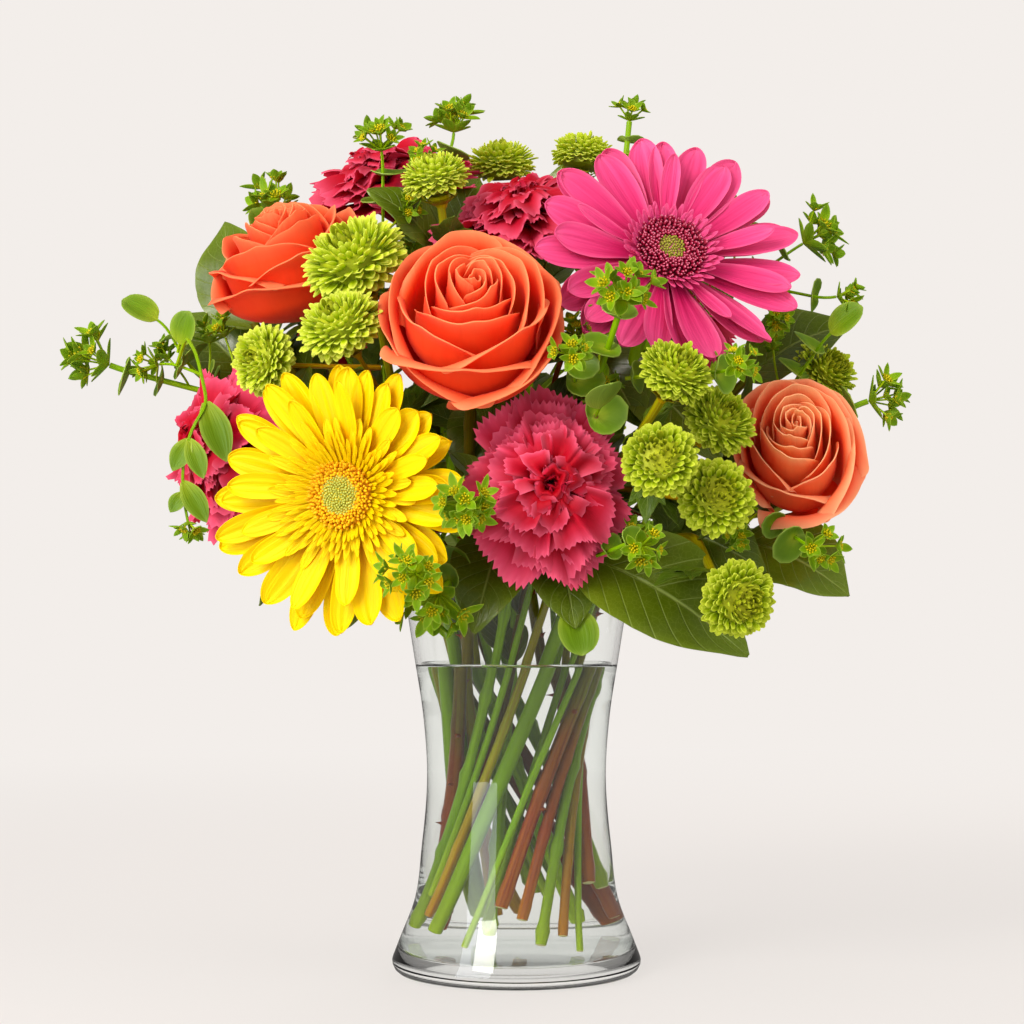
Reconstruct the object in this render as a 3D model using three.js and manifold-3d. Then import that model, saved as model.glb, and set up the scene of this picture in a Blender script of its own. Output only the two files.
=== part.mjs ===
// A mixed bouquet of cut flowers, gathered in a spiral, in a clear glass vase with water.
// Millimetres, +Z up, the front of the bouquet towards -Y.
// The origin is the centre of the vase's underside.
import * as THREE from 'three';
import { mergeVertices } from 'three/addons/utils/BufferGeometryUtils.js';
import Module from 'manifold-3d';

const wasm = await Module();
wasm.setup();

// ---- Driving dimensions ------------------------------------------------------------------

const GAP = 0.3; // clearance between touching pieces
const AROUND = 20; // sides of the vase and of the water

const VASE_OUTLINE = [ // radius and height of the outer wall
  [54.8, 2.2], [55.4, 6], [51.5, 16], [46, 30], [42.3, 56],
  [40, 88], [41.6, 112], [46.2, 142], [52.2, 179.2],
];
const VASE_FOOT_RADIUS = 50;
const VASE_WALL = 2.5;
const VASE_HEEL = 4.5; // extra thickness of the wall where it meets the floor
const VASE_HEEL_HEIGHT = 28;
const VASE_FLOOR = 7.5;
const VASE_RIM = 180;
const WATER_LEVEL = 136;

const WAIST = 88; // height at which the spiral of stems is tightest
const TWIST = 0.018; // turn of the spiral of stems, per millimetre of height
const BUNCH_RADIUS = 21; // reach of the stems at the waist
const COLLAR = 187; // height up to which every stem is straight
const STEM_ROOM = 1.3; // space kept between stems
const STEM_SIDES = 5;
const THIN_STEM = 2; // stems of a smaller radius have one side less
const RELAX_ROUNDS = 220;
const LOWEST_CUT = 10; // heights of the stems' cut ends
const HIGHEST_CUT = 46;

const COLOURS = {
  glass: 0xe8f0ee, water: 0xdce9ea, stem: 0x5f8c28, wood: 0x8c4b1e,
  yellow: 0xffde00, yellowDisc: 0xd9b020, pink: 0xe23470, pinkDisc: 0x8c0a32,
  rose: 0xf06e46, carnation: 0xcd194b, pom: 0xa5c828, bupleurum: 0x6a9a2c, salal: 0x4a7028,
};

// Every bloom: its kind, the middle of its head, the way it faces, and its reach across.
const BLOOMS = {
  gerbera_yellow: { kind: 'gerbera', at: [-70, -103, 207], facing: [-0.35, -0.93, -0.08], reach: 56 },
  gerbera_pink: { kind: 'gerbera', at: [64, -72, 311], facing: [0.22, -0.88, 0.4], reach: 59 },
  rose_centre: { kind: 'rose', at: [-18, -99, 278], facing: [0.03, -0.8, 0.6], reach: 35 },
  rose_left: { kind: 'rose', at: [-99, -30, 313], facing: [-0.3, -0.45, 0.85], reach: 32 },
  rose_right: { kind: 'rose', at: [122, -50, 229], facing: [0, -0.85, 0.52], reach: 31 },
  rose_back: { kind: 'rose', at: [-14, 88, 302], facing: [-0.1, 0.78, 0.62], reach: 33 },
  carnation_front: { kind: 'carnation', at: [13, -100, 211], facing: [0.08, -0.99, 0.05], reach: 33 },
  carnation_left: { kind: 'carnation', at: [-130, -30, 233], facing: [-0.8, -0.58, 0.1], reach: 32 },
  carnation_top: { kind: 'carnation', at: [3, -28, 334], facing: [-0.1, -0.45, 0.88], reach: 30 },
  carnation_top_left: { kind: 'carnation', at: [-56, 10, 358], facing: [-0.3, -0.25, 0.92], reach: 31 },
  carnation_back_left: { kind: 'carnation', at: [-92, 66, 268], facing: [-0.6, 0.75, 0.3], reach: 31 },
  carnation_back_right: { kind: 'carnation', at: [77, 66, 308], facing: [0.45, 0.6, 0.66], reach: 31 },
};

// Branched stems of button chrysanthemums, head by head.
const POM_SPRAYS = {
  pom_stem_left: [
    { at: [-68, -76, 307], facing: [-0.4, -0.55, 0.73], reach: 23 },
    { at: [-72, -96, 277], facing: [-0.4, -0.6, 0.7], reach: 18 },
    { at: [-106, -75, 265], facing: [-0.65, -0.75, 0.1], reach: 15.5 },
  ],
  pom_stem_top: [
    { at: [-35, -52, 347], facing: [-0.2, -0.35, 0.9], reach: 15 },
    { at: [-7, 16, 367], facing: [-0.05, -0.2, 0.97], reach: 16 },
    { at: [31, 26, 373], facing: [0.15, 0.05, 0.98], reach: 14.5 },
  ],
  pom_stem_front: [
    { at: [63, -120, 255], facing: [0.35, -0.6, 0.7], reach: 15.5 },
    { at: [83, -92, 238], facing: [0.45, -0.7, 0.55], reach: 16 },
    { at: [56, -126, 220], facing: [-0.05, -0.97, 0.2], reach: 15.5 },
    { at: [80, -106, 206], facing: [0.1, -0.97, 0.15], reach: 16 },
  ],
  pom_stem_right: [
    { at: [88, -112, 165], facing: [0.35, -0.9, -0.2], reach: 16 },
    { at: [138, -12, 267], facing: [0.6, -0.6, 0.5], reach: 15.5 },
  ],
  pom_stem_back: [
    { at: [38, 108, 254], facing: [0.25, 0.94, 0.2], reach: 17 },
    { at: [-36, 112, 240], facing: [-0.25, 0.95, 0.1], reach: 17 },
    { at: [108, 58, 244], facing: [0.75, 0.62, 0.15], reach: 16 },
  ],
};

// Bupleurum: umbels, and here and there a round leaf, at the tips of each branched stem.
const BUPLEURUM_SPRAYS = {
  bupleurum_left: [
    { at: [-189, -18, 273], facing: [-0.9, -0.1, 0.4], reach: 17 },
    { at: [-163, -22, 268], facing: [-0.8, -0.3, -0.2], reach: 10 },
    { at: [-165, -10, 293], facing: [-0.8, -0.1, 0.5], reach: 9, leaf: true },
    { at: [-149, -14, 283], facing: [0.3, -0.4, 0.8], reach: 8, leaf: true },
  ],
  bupleurum_top_left: [
    { at: [-111, 6, 349], facing: [-0.3, 0, 0.95], reach: 16 },
    { at: [-60, -34, 368], facing: [-0.1, -0.5, 0.86], reach: 13 },
    { at: [-28, -16, 381], facing: [0, 0, 1], reach: 14 },
    { at: [-112, -6, 330], facing: [-0.5, -0.3, 0.8], reach: 9, leaf: true },
  ],
  bupleurum_top_right: [
    { at: [52, 4, 388], facing: [0.1, 0, 1], reach: 9 },
    { at: [136, -12, 329], facing: [0.85, 0, 0.5], reach: 17 },
    { at: [145, -30, 299], facing: [0.95, -0.2, 0.2], reach: 9 },
  ],
  bupleurum_right: [
    { at: [162, -26, 254], facing: [0.95, -0.2, 0.2], reach: 14 },
    { at: [124, -87, 185], facing: [0.5, -0.8, -0.3], reach: 12 },
    { at: [140, -38, 284], facing: [0.66, -0.36, 0.6], reach: 9, leaf: true },
  ],
  bupleurum_centre: [
    { at: [43, -124, 287], facing: [0.1, -0.9, 0.4], reach: 14 },
    { at: [23, -122, 262], facing: [0, -1, 0], reach: 10 },
    { at: [88, -124, 258], facing: [0.3, -0.9, 0.2], reach: 10 },
    { at: [34, -112, 244], facing: [0.2, -0.8, 0.5], reach: 9, leaf: true },
  ],
  bupleurum_front: [
    { at: [-34, -94, 161], facing: [-0.2, -0.7, -0.6], reach: 19 },
    { at: [-20, -130, 200], facing: [-0.1, -0.95, -0.1], reach: 14 },
    { at: [-42, -124, 176], facing: [-0.3, -0.9, 0.1], reach: 13 },
    { at: [50, -124, 183], facing: [0.2, -0.85, -0.5], reach: 12 },
    { at: [24, -84, 156], facing: [0.2, -0.3, -0.9], reach: 10, leaf: true },
  ],
  bupleurum_back: [
    { at: [5, 132, 268], facing: [0, 1, 0.2], reach: 15 },
    { at: [-118, 82, 226], facing: [-0.7, 0.7, -0.2], reach: 14 },
    { at: [60, 98, 350], facing: [0.3, 0.4, 0.85], reach: 14 },
  ],
};

// Broad glossy leaves: root and tip of each blade, and the way its upper face looks.
const LEAF_STEMS = {
  leaves_left: [
    { root: [-120, 12, 292], tip: [-136, 26, 342], faces: [-0.5, -0.8, 0.2], width: 40 },
    { root: [-118, 22, 262], tip: [-158, 36, 300], faces: [-0.4, -0.6, 0.7], width: 38 },
    { root: [-70, 34, 196], tip: [-122, 44, 162], faces: [-0.5, 0.1, 0.85], width: 44 },
    { root: [-38, -24, 322], tip: [-66, -40, 344], faces: [0.1, -0.75, 0.65], width: 28 },
  ],
  leaves_front: [
    { root: [26, -72, 184], tip: [96, -84, 141], faces: [-0.1, -0.8, 0.6], width: 50 },
    { root: [98, -42, 190], tip: [142, -56, 166], faces: [0.3, -0.8, 0.5], width: 44 },
    { root: [-44, -62, 190], tip: [-72, -78, 152], faces: [-0.4, -0.6, 0.7], width: 40 },
    { root: [12, -42, 240], tip: [38, -72, 258], faces: [0.1, -0.8, 0.6], width: 26 },
  ],
  leaves_right: [
    { root: [106, 2, 266], tip: [153, -2, 290], faces: [0.2, -0.6, 0.78], width: 44 },
    { root: [84, 8, 326], tip: [84, 16, 366], faces: [0.3, -0.7, 0.5], width: 38 },
    { root: [92, 20, 196], tip: [140, 34, 168], faces: [0.5, 0.1, 0.85], width: 46 },
  ],
  leaves_back: [
    { root: [-10, 62, 196], tip: [-22, 108, 158], faces: [-0.1, 0.6, 0.8], width: 48 },
    { root: [56, 60, 190], tip: [86, 96, 156], faces: [0.4, 0.5, 0.78], width: 44 },
    { root: [14, 62, 330], tip: [24, 76, 380], faces: [0.1, 0.9, 0.3], width: 40 },
    { root: [-34, 58, 207], tip: [-70, 92, 222], faces: [-0.2, 0.8, 0.55], width: 38 },
    { root: [30, 62, 208], tip: [62, 100, 216], faces: [0.2, 0.75, 0.6], width: 38 },
  ],
};

const STEM_RADIUS = { gerbera: 3.1, rose: 2.7, carnation: 2.1, pom: 1.9, bupleurum: 1.4, leaf: 2.2 };
const BRANCH_RADIUS = { pom: 1.1, bupleurum: 0.8, leaf: 1.2 };

// Heads are this deep for each millimetre of their reach, and their middle is at this share of it.
const DEPTH = { gerbera: 0.24, rose: 1.62, carnation: 1.2, pom: 1.25, umbel: 1.1 };
const MIDDLE = { gerbera: 0.5, rose: 0.5, carnation: 0.62, pom: 0.5, umbel: 0.5 };

// ---- Small helpers -----------------------------------------------------------------------

const UP = new THREE.Vector3(0, 0, 1);
const point = (list) => new THREE.Vector3(...list);
const heading = (list) => point(list).normalize();
const mix = THREE.MathUtils.lerp;
const TURN = 2 * Math.PI;
const GOLDEN_ANGLE = TURN * 0.381966;

function seeded(seed) {
  let state = seed >>> 0;
  return () => {
    state = (Math.imul(state, 1664525) + 1013904223) >>> 0;
    return state / 4294967296;
  };
}

// A closed mesh with shared vertices, as a solid that can be joined and cut.
function toSolid(geometry) {
  const bare = geometry.clone();
  bare.deleteAttribute('normal');
  bare.deleteAttribute('uv');
  const merged = mergeVertices(bare, 1e-4);
  return new wasm.Manifold(new wasm.Mesh({
    numProp: 3,
    vertProperties: merged.attributes.position.array,
    triVerts: new Uint32Array(merged.index.array),
  }));
}

function toGeometry(solid) {
  const { vertProperties, triVerts } = solid.getMesh();
  const geometry = new THREE.BufferGeometry();
  geometry.setAttribute('position', new THREE.BufferAttribute(new Float32Array(vertProperties), 3));
  geometry.setIndex(new THREE.BufferAttribute(new Uint32Array(triVerts), 1));
  geometry.computeVertexNormals();
  return geometry;
}

// Joins closed geometries into one body, and drops a scrap that doesn't hold to it.
function fuse(geometries) {
  const whole = wasm.Manifold.union(geometries.map(toSolid));
  const bodies = whole.decompose().sort((a, b) => b.volume() - a.volume());
  return bodies[0];
}

// Moves every vertex of a geometry by a rule.
function warp(geometry, rule) {
  const places = geometry.attributes.position;
  const place = new THREE.Vector3();
  for (let i = 0; i < places.count; i += 1) {
    place.fromBufferAttribute(places, i);
    const moved = rule(place);
    places.setXYZ(i, moved.x, moved.y, moved.z);
  }
  return geometry;
}

// The frame that stands on a point and looks along a direction.
function standing(at, facing, roll = 0) {
  const turn = new THREE.Quaternion().setFromUnitVectors(UP, facing);
  turn.multiply(new THREE.Quaternion().setFromAxisAngle(UP, roll));
  return new THREE.Matrix4().compose(at, turn, new THREE.Vector3(1, 1, 1));
}

// A thin slab whose two faces are split into triangles alike.
// It spans x from -1 to 1, y from 0 to 1 and z from -0.5 to 0.5.
function slab(across, along) {
  const box = new THREE.BoxGeometry(2, 1, 1, across, along, 1).translate(0, 0.5, 0);
  const index = box.index.array;
  const back = box.groups[5];
  for (let i = back.start; i < back.start + back.count; i += 6) {
    const [a, b, d] = index.slice(i, i + 3);
    const c = index[i + 4];
    index.set([a, b, c, a, c, d], i);
  }
  return box;
}

// A petal or leaf: a slab laid on the surface form(u, v), with u from -1 to 1 across
// and v from 0 to 1 along it.
function blade({ across, along, thickness, form }) {
  const STEP = 1e-3;
  return warp(slab(across, along), ({ x, y, z }) => {
    const middle = form(x, y);
    const side = form(x + STEP, y).sub(form(x - STEP, y));
    const ahead = form(x, y + STEP).sub(form(x, y - STEP));
    const normal = side.cross(ahead).normalize();
    return middle.addScaledVector(normal, z * thickness);
  });
}

// A small four-sided leaf or floret with a ridge, from the origin along +Y, facing +Z.
function ridgedBlade({ length, width, thickness, rings, blunt, outline, lift }) {
  const cone = new THREE.ConeGeometry(1, 1, 4, rings).translate(0, 0.5, 0);
  return warp(cone, ({ x, y, z }) => {
    const swell = y > 0.999 ? 0 : outline(y) / (1 - y);
    const along = 1 - (1 - y) ** blunt;
    return new THREE.Vector3(
      z * swell * width / 2, along * length, lift(along) - x * swell * thickness / 2,
    );
  });
}

// A path whose evenly spaced points are its stations.
class Stations extends THREE.Curve {
  constructor(stations) {
    super();
    this.stations = stations;
  }

  getPointAt(share) {
    return this.stations[Math.round(share * (this.stations.length - 1))].clone();
  }

  getTangentAt(share) {
    const last = this.stations.length - 1;
    const here = Math.round(share * last);
    const ahead = this.stations[Math.min(here + 1, last)];
    const behind = this.stations[Math.max(here - 1, 0)];
    return ahead.clone().sub(behind).normalize();
  }
}

const sidesOf = (radius) => (radius < THIN_STEM ? STEM_SIDES - 1 : STEM_SIDES);

// A rod of even section through its stations.
function rod(stations, radius, sides = sidesOf(radius)) {
  const section = new THREE.Shape();
  for (let i = 0; i < sides; i += 1) {
    const angle = TURN * i / sides;
    section[i === 0 ? 'moveTo' : 'lineTo'](radius * Math.cos(angle), radius * Math.sin(angle));
  }
  return new THREE.ExtrudeGeometry(section, {
    steps: stations.length - 1,
    extrudePath: new Stations(stations),
  });
}

// A ring of revolution round +Z from a closed outline of [radius, height].
function turned(outline, sides) {
  const profile = outline.map(([radius, height]) => new THREE.Vector2(radius, height));
  return new THREE.LatheGeometry(profile, sides).rotateX(Math.PI / 2).rotateZ(Math.PI / 2);
}

// Notches every second point of a turned piece's rim, past the radius given.
function toothed(geometry, sides, from, depth) {
  return warp(geometry, (place) => {
    const step = Math.round(Math.atan2(place.y, place.x) / TURN * sides);
    const notch = Math.hypot(place.x, place.y) > from && step % 2 === 0 ? depth : 1;
    return new THREE.Vector3(place.x * notch, place.y * notch, place.z);
  });
}

// ---- Vase and water ----------------------------------------------------------------------

function outerRadius(height) {
  const above = VASE_OUTLINE.findIndex((pair) => pair[1] >= height);
  if (above < 1) return above === 0 ? VASE_OUTLINE[0][0] : VASE_OUTLINE.at(-1)[0];
  const [low, high] = [VASE_OUTLINE[above - 1], VASE_OUTLINE[above]];
  return mix(low[0], high[0], (height - low[1]) / (high[1] - low[1]));
}

function innerRadius(height) {
  const heel = Math.max(0, 1 - (height - VASE_FLOOR) / VASE_HEEL_HEIGHT);
  return outerRadius(height) - VASE_WALL - VASE_HEEL * heel * heel;
}

const INNER_HEIGHTS = [VASE_FLOOR + 2.5, 19, 34, 56, WAIST, 112, 142, VASE_RIM - 1];

function vaseGeometry() {
  const inside = INNER_HEIGHTS.map((height) => [innerRadius(height), height]).reverse();
  const rim = [[innerRadius(VASE_RIM) + 1.9, VASE_RIM], [innerRadius(VASE_RIM) + 0.6, VASE_RIM]];
  const floor = [[innerRadius(VASE_FLOOR) - 2.5, VASE_FLOOR], [0, VASE_FLOOR]];
  return turned([[0, 0], [VASE_FOOT_RADIUS, 0], ...VASE_OUTLINE, ...rim, ...inside, ...floor], AROUND);
}

function waterSolid(stems) {
  const wall = INNER_HEIGHTS.filter((height) => height < WATER_LEVEL)
    .map((height) => [innerRadius(height) - GAP, height]);
  const bottom = VASE_FLOOR + GAP;
  const outline = [
    [0, bottom], [innerRadius(VASE_FLOOR) - 2.5 - GAP, bottom], ...wall,
    [innerRadius(WATER_LEVEL) - GAP, WATER_LEVEL], [0, WATER_LEVEL],
  ];
  const holes = stems.map((stem) => {
    const [foot, collar] = [stem.points[0], stem.points[1]];
    const along = collar.clone().sub(foot).normalize();
    const low = foot.clone().addScaledVector(along, -GAP);
    const sides = sidesOf(stem.radius);
    return toSolid(rod([low, collar], stem.radius + GAP / Math.cos(Math.PI / sides), sides));
  });
  return toSolid(turned(outline, AROUND)).subtract(wasm.Manifold.union(holes));
}

// ---- Stems: where they run ---------------------------------------------------------------

// Place at the collar and below of a stem that passes the waist at the point given.
function spiral(waist, height) {
  const turn = (height - WAIST) * TWIST;
  return new THREE.Vector3(waist.x - turn * waist.y, waist.y + turn * waist.x, height);
}

// Where a stem passes the waist, so that its straight line climbs towards its head.
function waistFor(head) {
  const climb = Math.min(head.z, 260) - WAIST;
  const turn = climb * TWIST;
  const reach = Math.min(Math.hypot(head.x, head.y) / Math.hypot(1, turn), BUNCH_RADIUS);
  const angle = Math.atan2(head.y, head.x) - Math.atan(turn);
  return new THREE.Vector2(Math.cos(angle), Math.sin(angle)).multiplyScalar(reach);
}

// Moves the waist points apart until the stems stand clear of each other.
function spreadWaist(stems) {
  const apart = (a, b) => 1.12 * (a.radius + b.radius) + STEM_ROOM;
  for (let round = 0; round < RELAX_ROUNDS; round += 1) {
    stems.forEach((a, i) => stems.slice(i + 1).forEach((b) => {
      const between = b.waist.clone().sub(a.waist);
      const distance = Math.max(between.length(), 0.01);
      const short = apart(a, b) - distance;
      if (short <= 0) return;
      between.multiplyScalar(short / distance / 2);
      a.waist.sub(between);
      b.waist.add(between);
    }));
    stems.forEach((stem) => stem.waist.clampLength(0, BUNCH_RADIUS));
  }
}

// The first height from the wanted one up at which a stem's foot stands inside the glass.
function footHeight(stem, wanted) {
  let height = wanted;
  const reach = (z) => spiral(stem.waist, z).setZ(0).length() + 1.2 * stem.radius + 1;
  while (reach(height) > innerRadius(height)) height += 1;
  return height;
}

// A smooth run of points from the collar to a head, arriving along the way it faces.
function climb(from, leaving, to, arriving, count) {
  const pull = from.distanceTo(to);
  const bend = new THREE.CubicBezierCurve3(
    from,
    from.clone().addScaledVector(leaving, pull * 0.3),
    to.clone().addScaledVector(arriving, -pull * 0.4),
    to,
  );
  return bend.getPoints(count);
}

// Pushes the ends of two segments apart, as far as each end may move.
function partSegments(a, i, b, j, apart) {
  const one = new THREE.Line3(a.points[i], a.points[i + 1]);
  const two = new THREE.Line3(b.points[j], b.points[j + 1]);
  const near = new THREE.Vector3();
  const far = new THREE.Vector3();
  const distance = Math.sqrt(one.distanceSqToLine3(two, near, far));
  if (distance >= apart) return;
  const push = near.clone().sub(far);
  if (push.lengthSq() < 1e-6) push.set(0.3, 0.2, 0.1);
  push.setLength((apart - distance) * 0.5);
  const moveEnds = (stem, k, line, at, sign) => {
    const share = line.closestPointToPointParameter(at, true);
    if (stem.free(k)) stem.points[k].addScaledVector(push, sign * (1 - share));
    if (stem.free(k + 1)) stem.points[k + 1].addScaledVector(push, sign * share);
  };
  moveEnds(a, i, one, near, 1);
  moveEnds(b, j, two, far, -1);
}

// Pushes a stem out of a head, which is a flattened ball.
function leaveHead(stem, head) {
  const room = stem.radius + STEM_ROOM;
  const across = head.reach + room;
  const along = head.depth / 2 + room;
  for (let k = 2; k < stem.points.length; k += 1) {
    [1, 0.66, 0.33].forEach((share) => {
      const place = stem.points[k - 1].clone().lerp(stem.points[k], share);
      const from = place.sub(head.middle);
      const rise = from.dot(head.facing);
      const flat = from.clone().addScaledVector(head.facing, -rise);
      const depth = Math.hypot(flat.length() / across, rise / along);
      if (depth >= 1) return;
      const push = flat.divideScalar(across).addScaledVector(head.facing, rise / along);
      push.setLength((1 - depth) * Math.min(across, along) * 0.5);
      if (stem.free(k)) stem.points[k].addScaledVector(push, share);
      if (stem.free(k - 1)) stem.points[k - 1].addScaledVector(push, 1 - share);
    });
  }
}

// Keeps a stem inside the vase's mouth, or lifts it over the rim.
function leaveRim(stem) {
  const room = stem.radius + STEM_ROOM;
  const wall = outerRadius(VASE_RIM) - VASE_WALL / 2;
  for (let k = 1; k < stem.points.length; k += 1) {
    [1, 0.75, 0.5, 0.25].forEach((share) => {
      const place = stem.points[k - 1].clone().lerp(stem.points[k], share);
      const reach = Math.hypot(place.x, place.y);
      const short = VASE_WALL / 2 + room - Math.abs(reach - wall);
      if (place.z > VASE_RIM + room || place.z < VASE_RIM - 60 || short <= 0) return;
      const inward = place.clone().setZ(0).setLength(-Math.min(short, 2) * 0.5);
      const push = inward.setZ(0.8);
      if (stem.free(k)) stem.points[k].addScaledVector(push, share);
      if (stem.free(k - 1)) stem.points[k - 1].addScaledVector(push, 1 - share);
    });
  }
}

// Lets the stems settle between the heads and beside each other.
function settle(stems, heads) {
  const related = (a, b) => a.parent === b || b.parent === a || (a.parent && a.parent === b.parent);
  for (let round = 0; round < RELAX_ROUNDS; round += 1) {
    stems.forEach((stem) => {
      for (let k = 2; k < stem.points.length - 1; k += 1) {
        if (!stem.free(k)) continue;
        const middle = stem.points[k - 1].clone().add(stem.points[k + 1]).multiplyScalar(0.5);
        stem.points[k].lerp(middle, round < RELAX_ROUNDS * 0.8 ? 0.08 : 0);
      }
      const others = heads.filter((head) => head !== stem.head && head !== stem.head.plate);
      others.forEach((head) => leaveHead(stem, head));
      leaveRim(stem);
    });
    stems.forEach((a, i) => stems.slice(i + 1).forEach((b) => {
      if (related(a, b)) return;
      const apart = a.radius + b.radius + STEM_ROOM;
      const first = a.parent ? 0 : 1;
      const start = b.parent ? 0 : 1;
      for (let k = first; k < a.points.length - 1; k += 1) {
        for (let n = start; n < b.points.length - 1; n += 1) partSegments(a, k, b, n, apart);
      }
    }));
    stems.filter((stem) => stem.parent).forEach((stem) => {
      stem.points[0].copy(stem.parent.points[stem.joint]);
    });
  }
}

// ---- Heads -------------------------------------------------------------------------------

// The place, frame and depth of a head of one kind.
function headOf(kind, { at, facing, reach, leaf }, roll = 0) {
  const way = heading(facing);
  const depth = reach * DEPTH[kind];
  const middle = point(at);
  const base = middle.clone().addScaledVector(way, -depth * MIDDLE[kind]);
  const core = base.clone().addScaledVector(way, depth / 2);
  const frame = standing(base, way, roll);
  return { kind, facing: way, reach, depth, base, middle: core, frame, leaf };
}

// Ray petals of a gerbera: rows of narrow ridged petals on a flat hub.
const GERBERA_HUB = 0.22; // share of the reach
const GERBERA_HUB_TOP = 7;
const PETAL_TILT = 0.22; // each petal lies a little under its neighbour
const GERBERA_ROWS = [
  { count: 16, share: 1, wide: 0.27, level: 1.5, rise: 2, droop: 7 },
  { count: 15, share: 0.9, wide: 0.25, level: 3.4, rise: 9, droop: 8 },
  { count: 11, share: 0.72, wide: 0.23, level: 5.2, rise: 16, droop: 8 },
];

function gerberaPetals(reach, seed) {
  const draw = seeded(seed);
  const hub = reach * GERBERA_HUB;
  const pieces = [turned([[0, 0], [hub, 0], [hub, GERBERA_HUB_TOP], [0, GERBERA_HUB_TOP]], 12)];
  GERBERA_ROWS.forEach(({ count, share, wide, level, rise, droop }, row) => {
    for (let i = 0; i < count; i += 1) {
      const start = hub * 0.8;
      const length = reach * share * mix(0.94, 1.02, draw()) - start;
      const petal = ridgedBlade({
        length, width: reach * wide, thickness: 1.3, rings: 2, blunt: 1.9,
        outline: (y) => (y < 0.2 ? 0.16 : 1),
        lift: (y) => rise * y ** 2 - droop * y ** 3,
      });
      petal.rotateY(PETAL_TILT).translate(0, start, level);
      petal.rotateZ(TURN * (i + 0.5 * row + 0.16 * (draw() - 0.5)) / count);
      pieces.push(petal);
    }
  });
  return fuse(pieces);
}

// Centre of a gerbera: a low dome with rings of raised florets.
const DISC_RINGS = [[0.2, 0], [0.29, 2], [0.28, 3.2], [0.2, 4.2], [0.12, 3.6], [0.07, 4.6]];
const DISC_SIDES = 16;

function gerberaDisc(reach) {
  const outline = DISC_RINGS.map(([share, height]) => [reach * share, height]);
  const dome = turned([[0, 0], ...outline, [0, 4]], DISC_SIDES);
  warp(dome, (place) => {
    const ring = place.clone().setZ(0).length();
    const step = Math.round(Math.atan2(place.y, place.x) / TURN * DISC_SIDES);
    const raised = place.z > 3 && ring > 1 && (step + Math.round(ring / 4)) % 2 === 0;
    return place.setZ(place.z + (raised ? 1.3 : 0));
  });
  return toSolid(dome.translate(0, 0, GERBERA_HUB_TOP + GAP));
}

// Green cup of bracts under a gerbera, ending just below its petals.
function gerberaCup(reach) {
  const hub = reach * GERBERA_HUB;
  const sides = 16;
  const outline = [[0, -12], [3.4, -12], [6.5, -8.5], [hub + 3.5, -1.2], [hub, -GAP], [0, -GAP]];
  return [toothed(turned(outline, sides), sides, hub + 2, 0.72)];
}

// A rose: cupped petals in whorls round a smaller core, each lapping over the next.
const ROSE_WHORLS = [
  { count: 5, root: 0.04, belly: 0.84, rim: 1.0, height: 1.12, span: 1.6, across: 2, curl: 5.5 },
  { count: 4, root: 0.24, belly: 0.62, rim: 0.66, height: 1.4, span: 1.9, across: 2, curl: 2 },
  { count: 3, root: 0.5, belly: 0.4, rim: 0.38, height: 1.56, span: 2.3, across: 2, curl: 0.6 },
];

function roseForm({ root, belly, rim, height, curl, span }, reach, lap) {
  return (u, v) => {
    const opening = Math.sin(Math.min(v * 1.5, 1) * Math.PI / 2);
    const flare = v ** 3;
    const radius = reach * mix(mix(0.14, belly, opening), rim, flare) + lap * u * opening;
    const angle = u * span / 2 * mix(0.12, 1, opening) * (1 - 0.28 * v ** 5);
    const level = reach * mix(root, height, v) - curl * flare * (0.4 + 0.6 * u * u);
    return new THREE.Vector3(radius * Math.sin(angle), radius * Math.cos(angle), level);
  };
}

function rosePetals(reach, seed) {
  const draw = seeded(seed);
  const core = [[0, 0], [0.24, 0], [0.24, 0.5], [0.12, 1.46], [0, 1.5]];
  const pieces = [turned(core.map(([radius, height]) => [radius * reach, height * reach]), 6)];
  ROSE_WHORLS.forEach((whorl, row) => {
    for (let i = 0; i < whorl.count; i += 1) {
      const form = roseForm(whorl, reach * mix(0.97, 1.02, draw()), 2.2);
      const petal = blade({ across: whorl.across, along: 2, thickness: 1.3, form });
      pieces.push(petal.rotateZ(TURN * (i + row * 0.4) / whorl.count + 0.5 * row));
    }
  });
  return fuse(pieces);
}

function roseCup() {
  const sides = 10;
  const sepals = [[0, -9], [2.8, -9], [4.6, -5.4], [16, -4], [16, -2.8], [4.6, -GAP], [0, -GAP]];
  return [toothed(turned(sepals, sides), sides, 10, 0.36)];
}

// A carnation: nested ruffled frills with a toothed edge.
const FRILLS = [
  { rim: 1.0, level: 0.55, root: 0.02, wave: 3.4, sides: 16 },
  { rim: 0.8, level: 0.86, root: 0.2, wave: 2.8, sides: 12 },
  { rim: 0.46, level: 1.12, root: 0.4, wave: 2.2, sides: 8 },
];

function frill({ rim, level, root, wave, sides }, reach, turn) {
  const low = root * reach;
  const high = level * reach;
  const edge = rim * reach;
  const outline = [
    [0, low], [edge, high], [edge, high + 1.1],
    [0.5 * edge, mix(low, high, 0.62) + 2.4], [0, low + 0.24 * reach],
  ];
  return warp(turned(outline, sides), (place) => {
    const ring = place.clone().setZ(0).length() / edge;
    const step = Math.round(Math.atan2(place.y, place.x) / TURN * sides);
    const tooth = ring > 0.9 && step % 2 === 0 ? 0.87 : 1;
    const ripple = wave * ring * Math.sin(step * TURN * 5 / sides + turn);
    return new THREE.Vector3(place.x * tooth, place.y * tooth, place.z + ripple);
  }).rotateZ(turn);
}

function carnationPetals(reach, seed) {
  const draw = seeded(seed);
  return fuse(FRILLS.map((row) => frill(row, reach, TURN * draw())));
}

function carnationCup() {
  const sides = 10;
  const cup = turned([[0, -20], [2.3, -20], [4.8, -15], [7, -1.4], [4, -GAP], [0, -GAP]], sides);
  return [toothed(cup, sides, 6, 0.74)];
}

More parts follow.
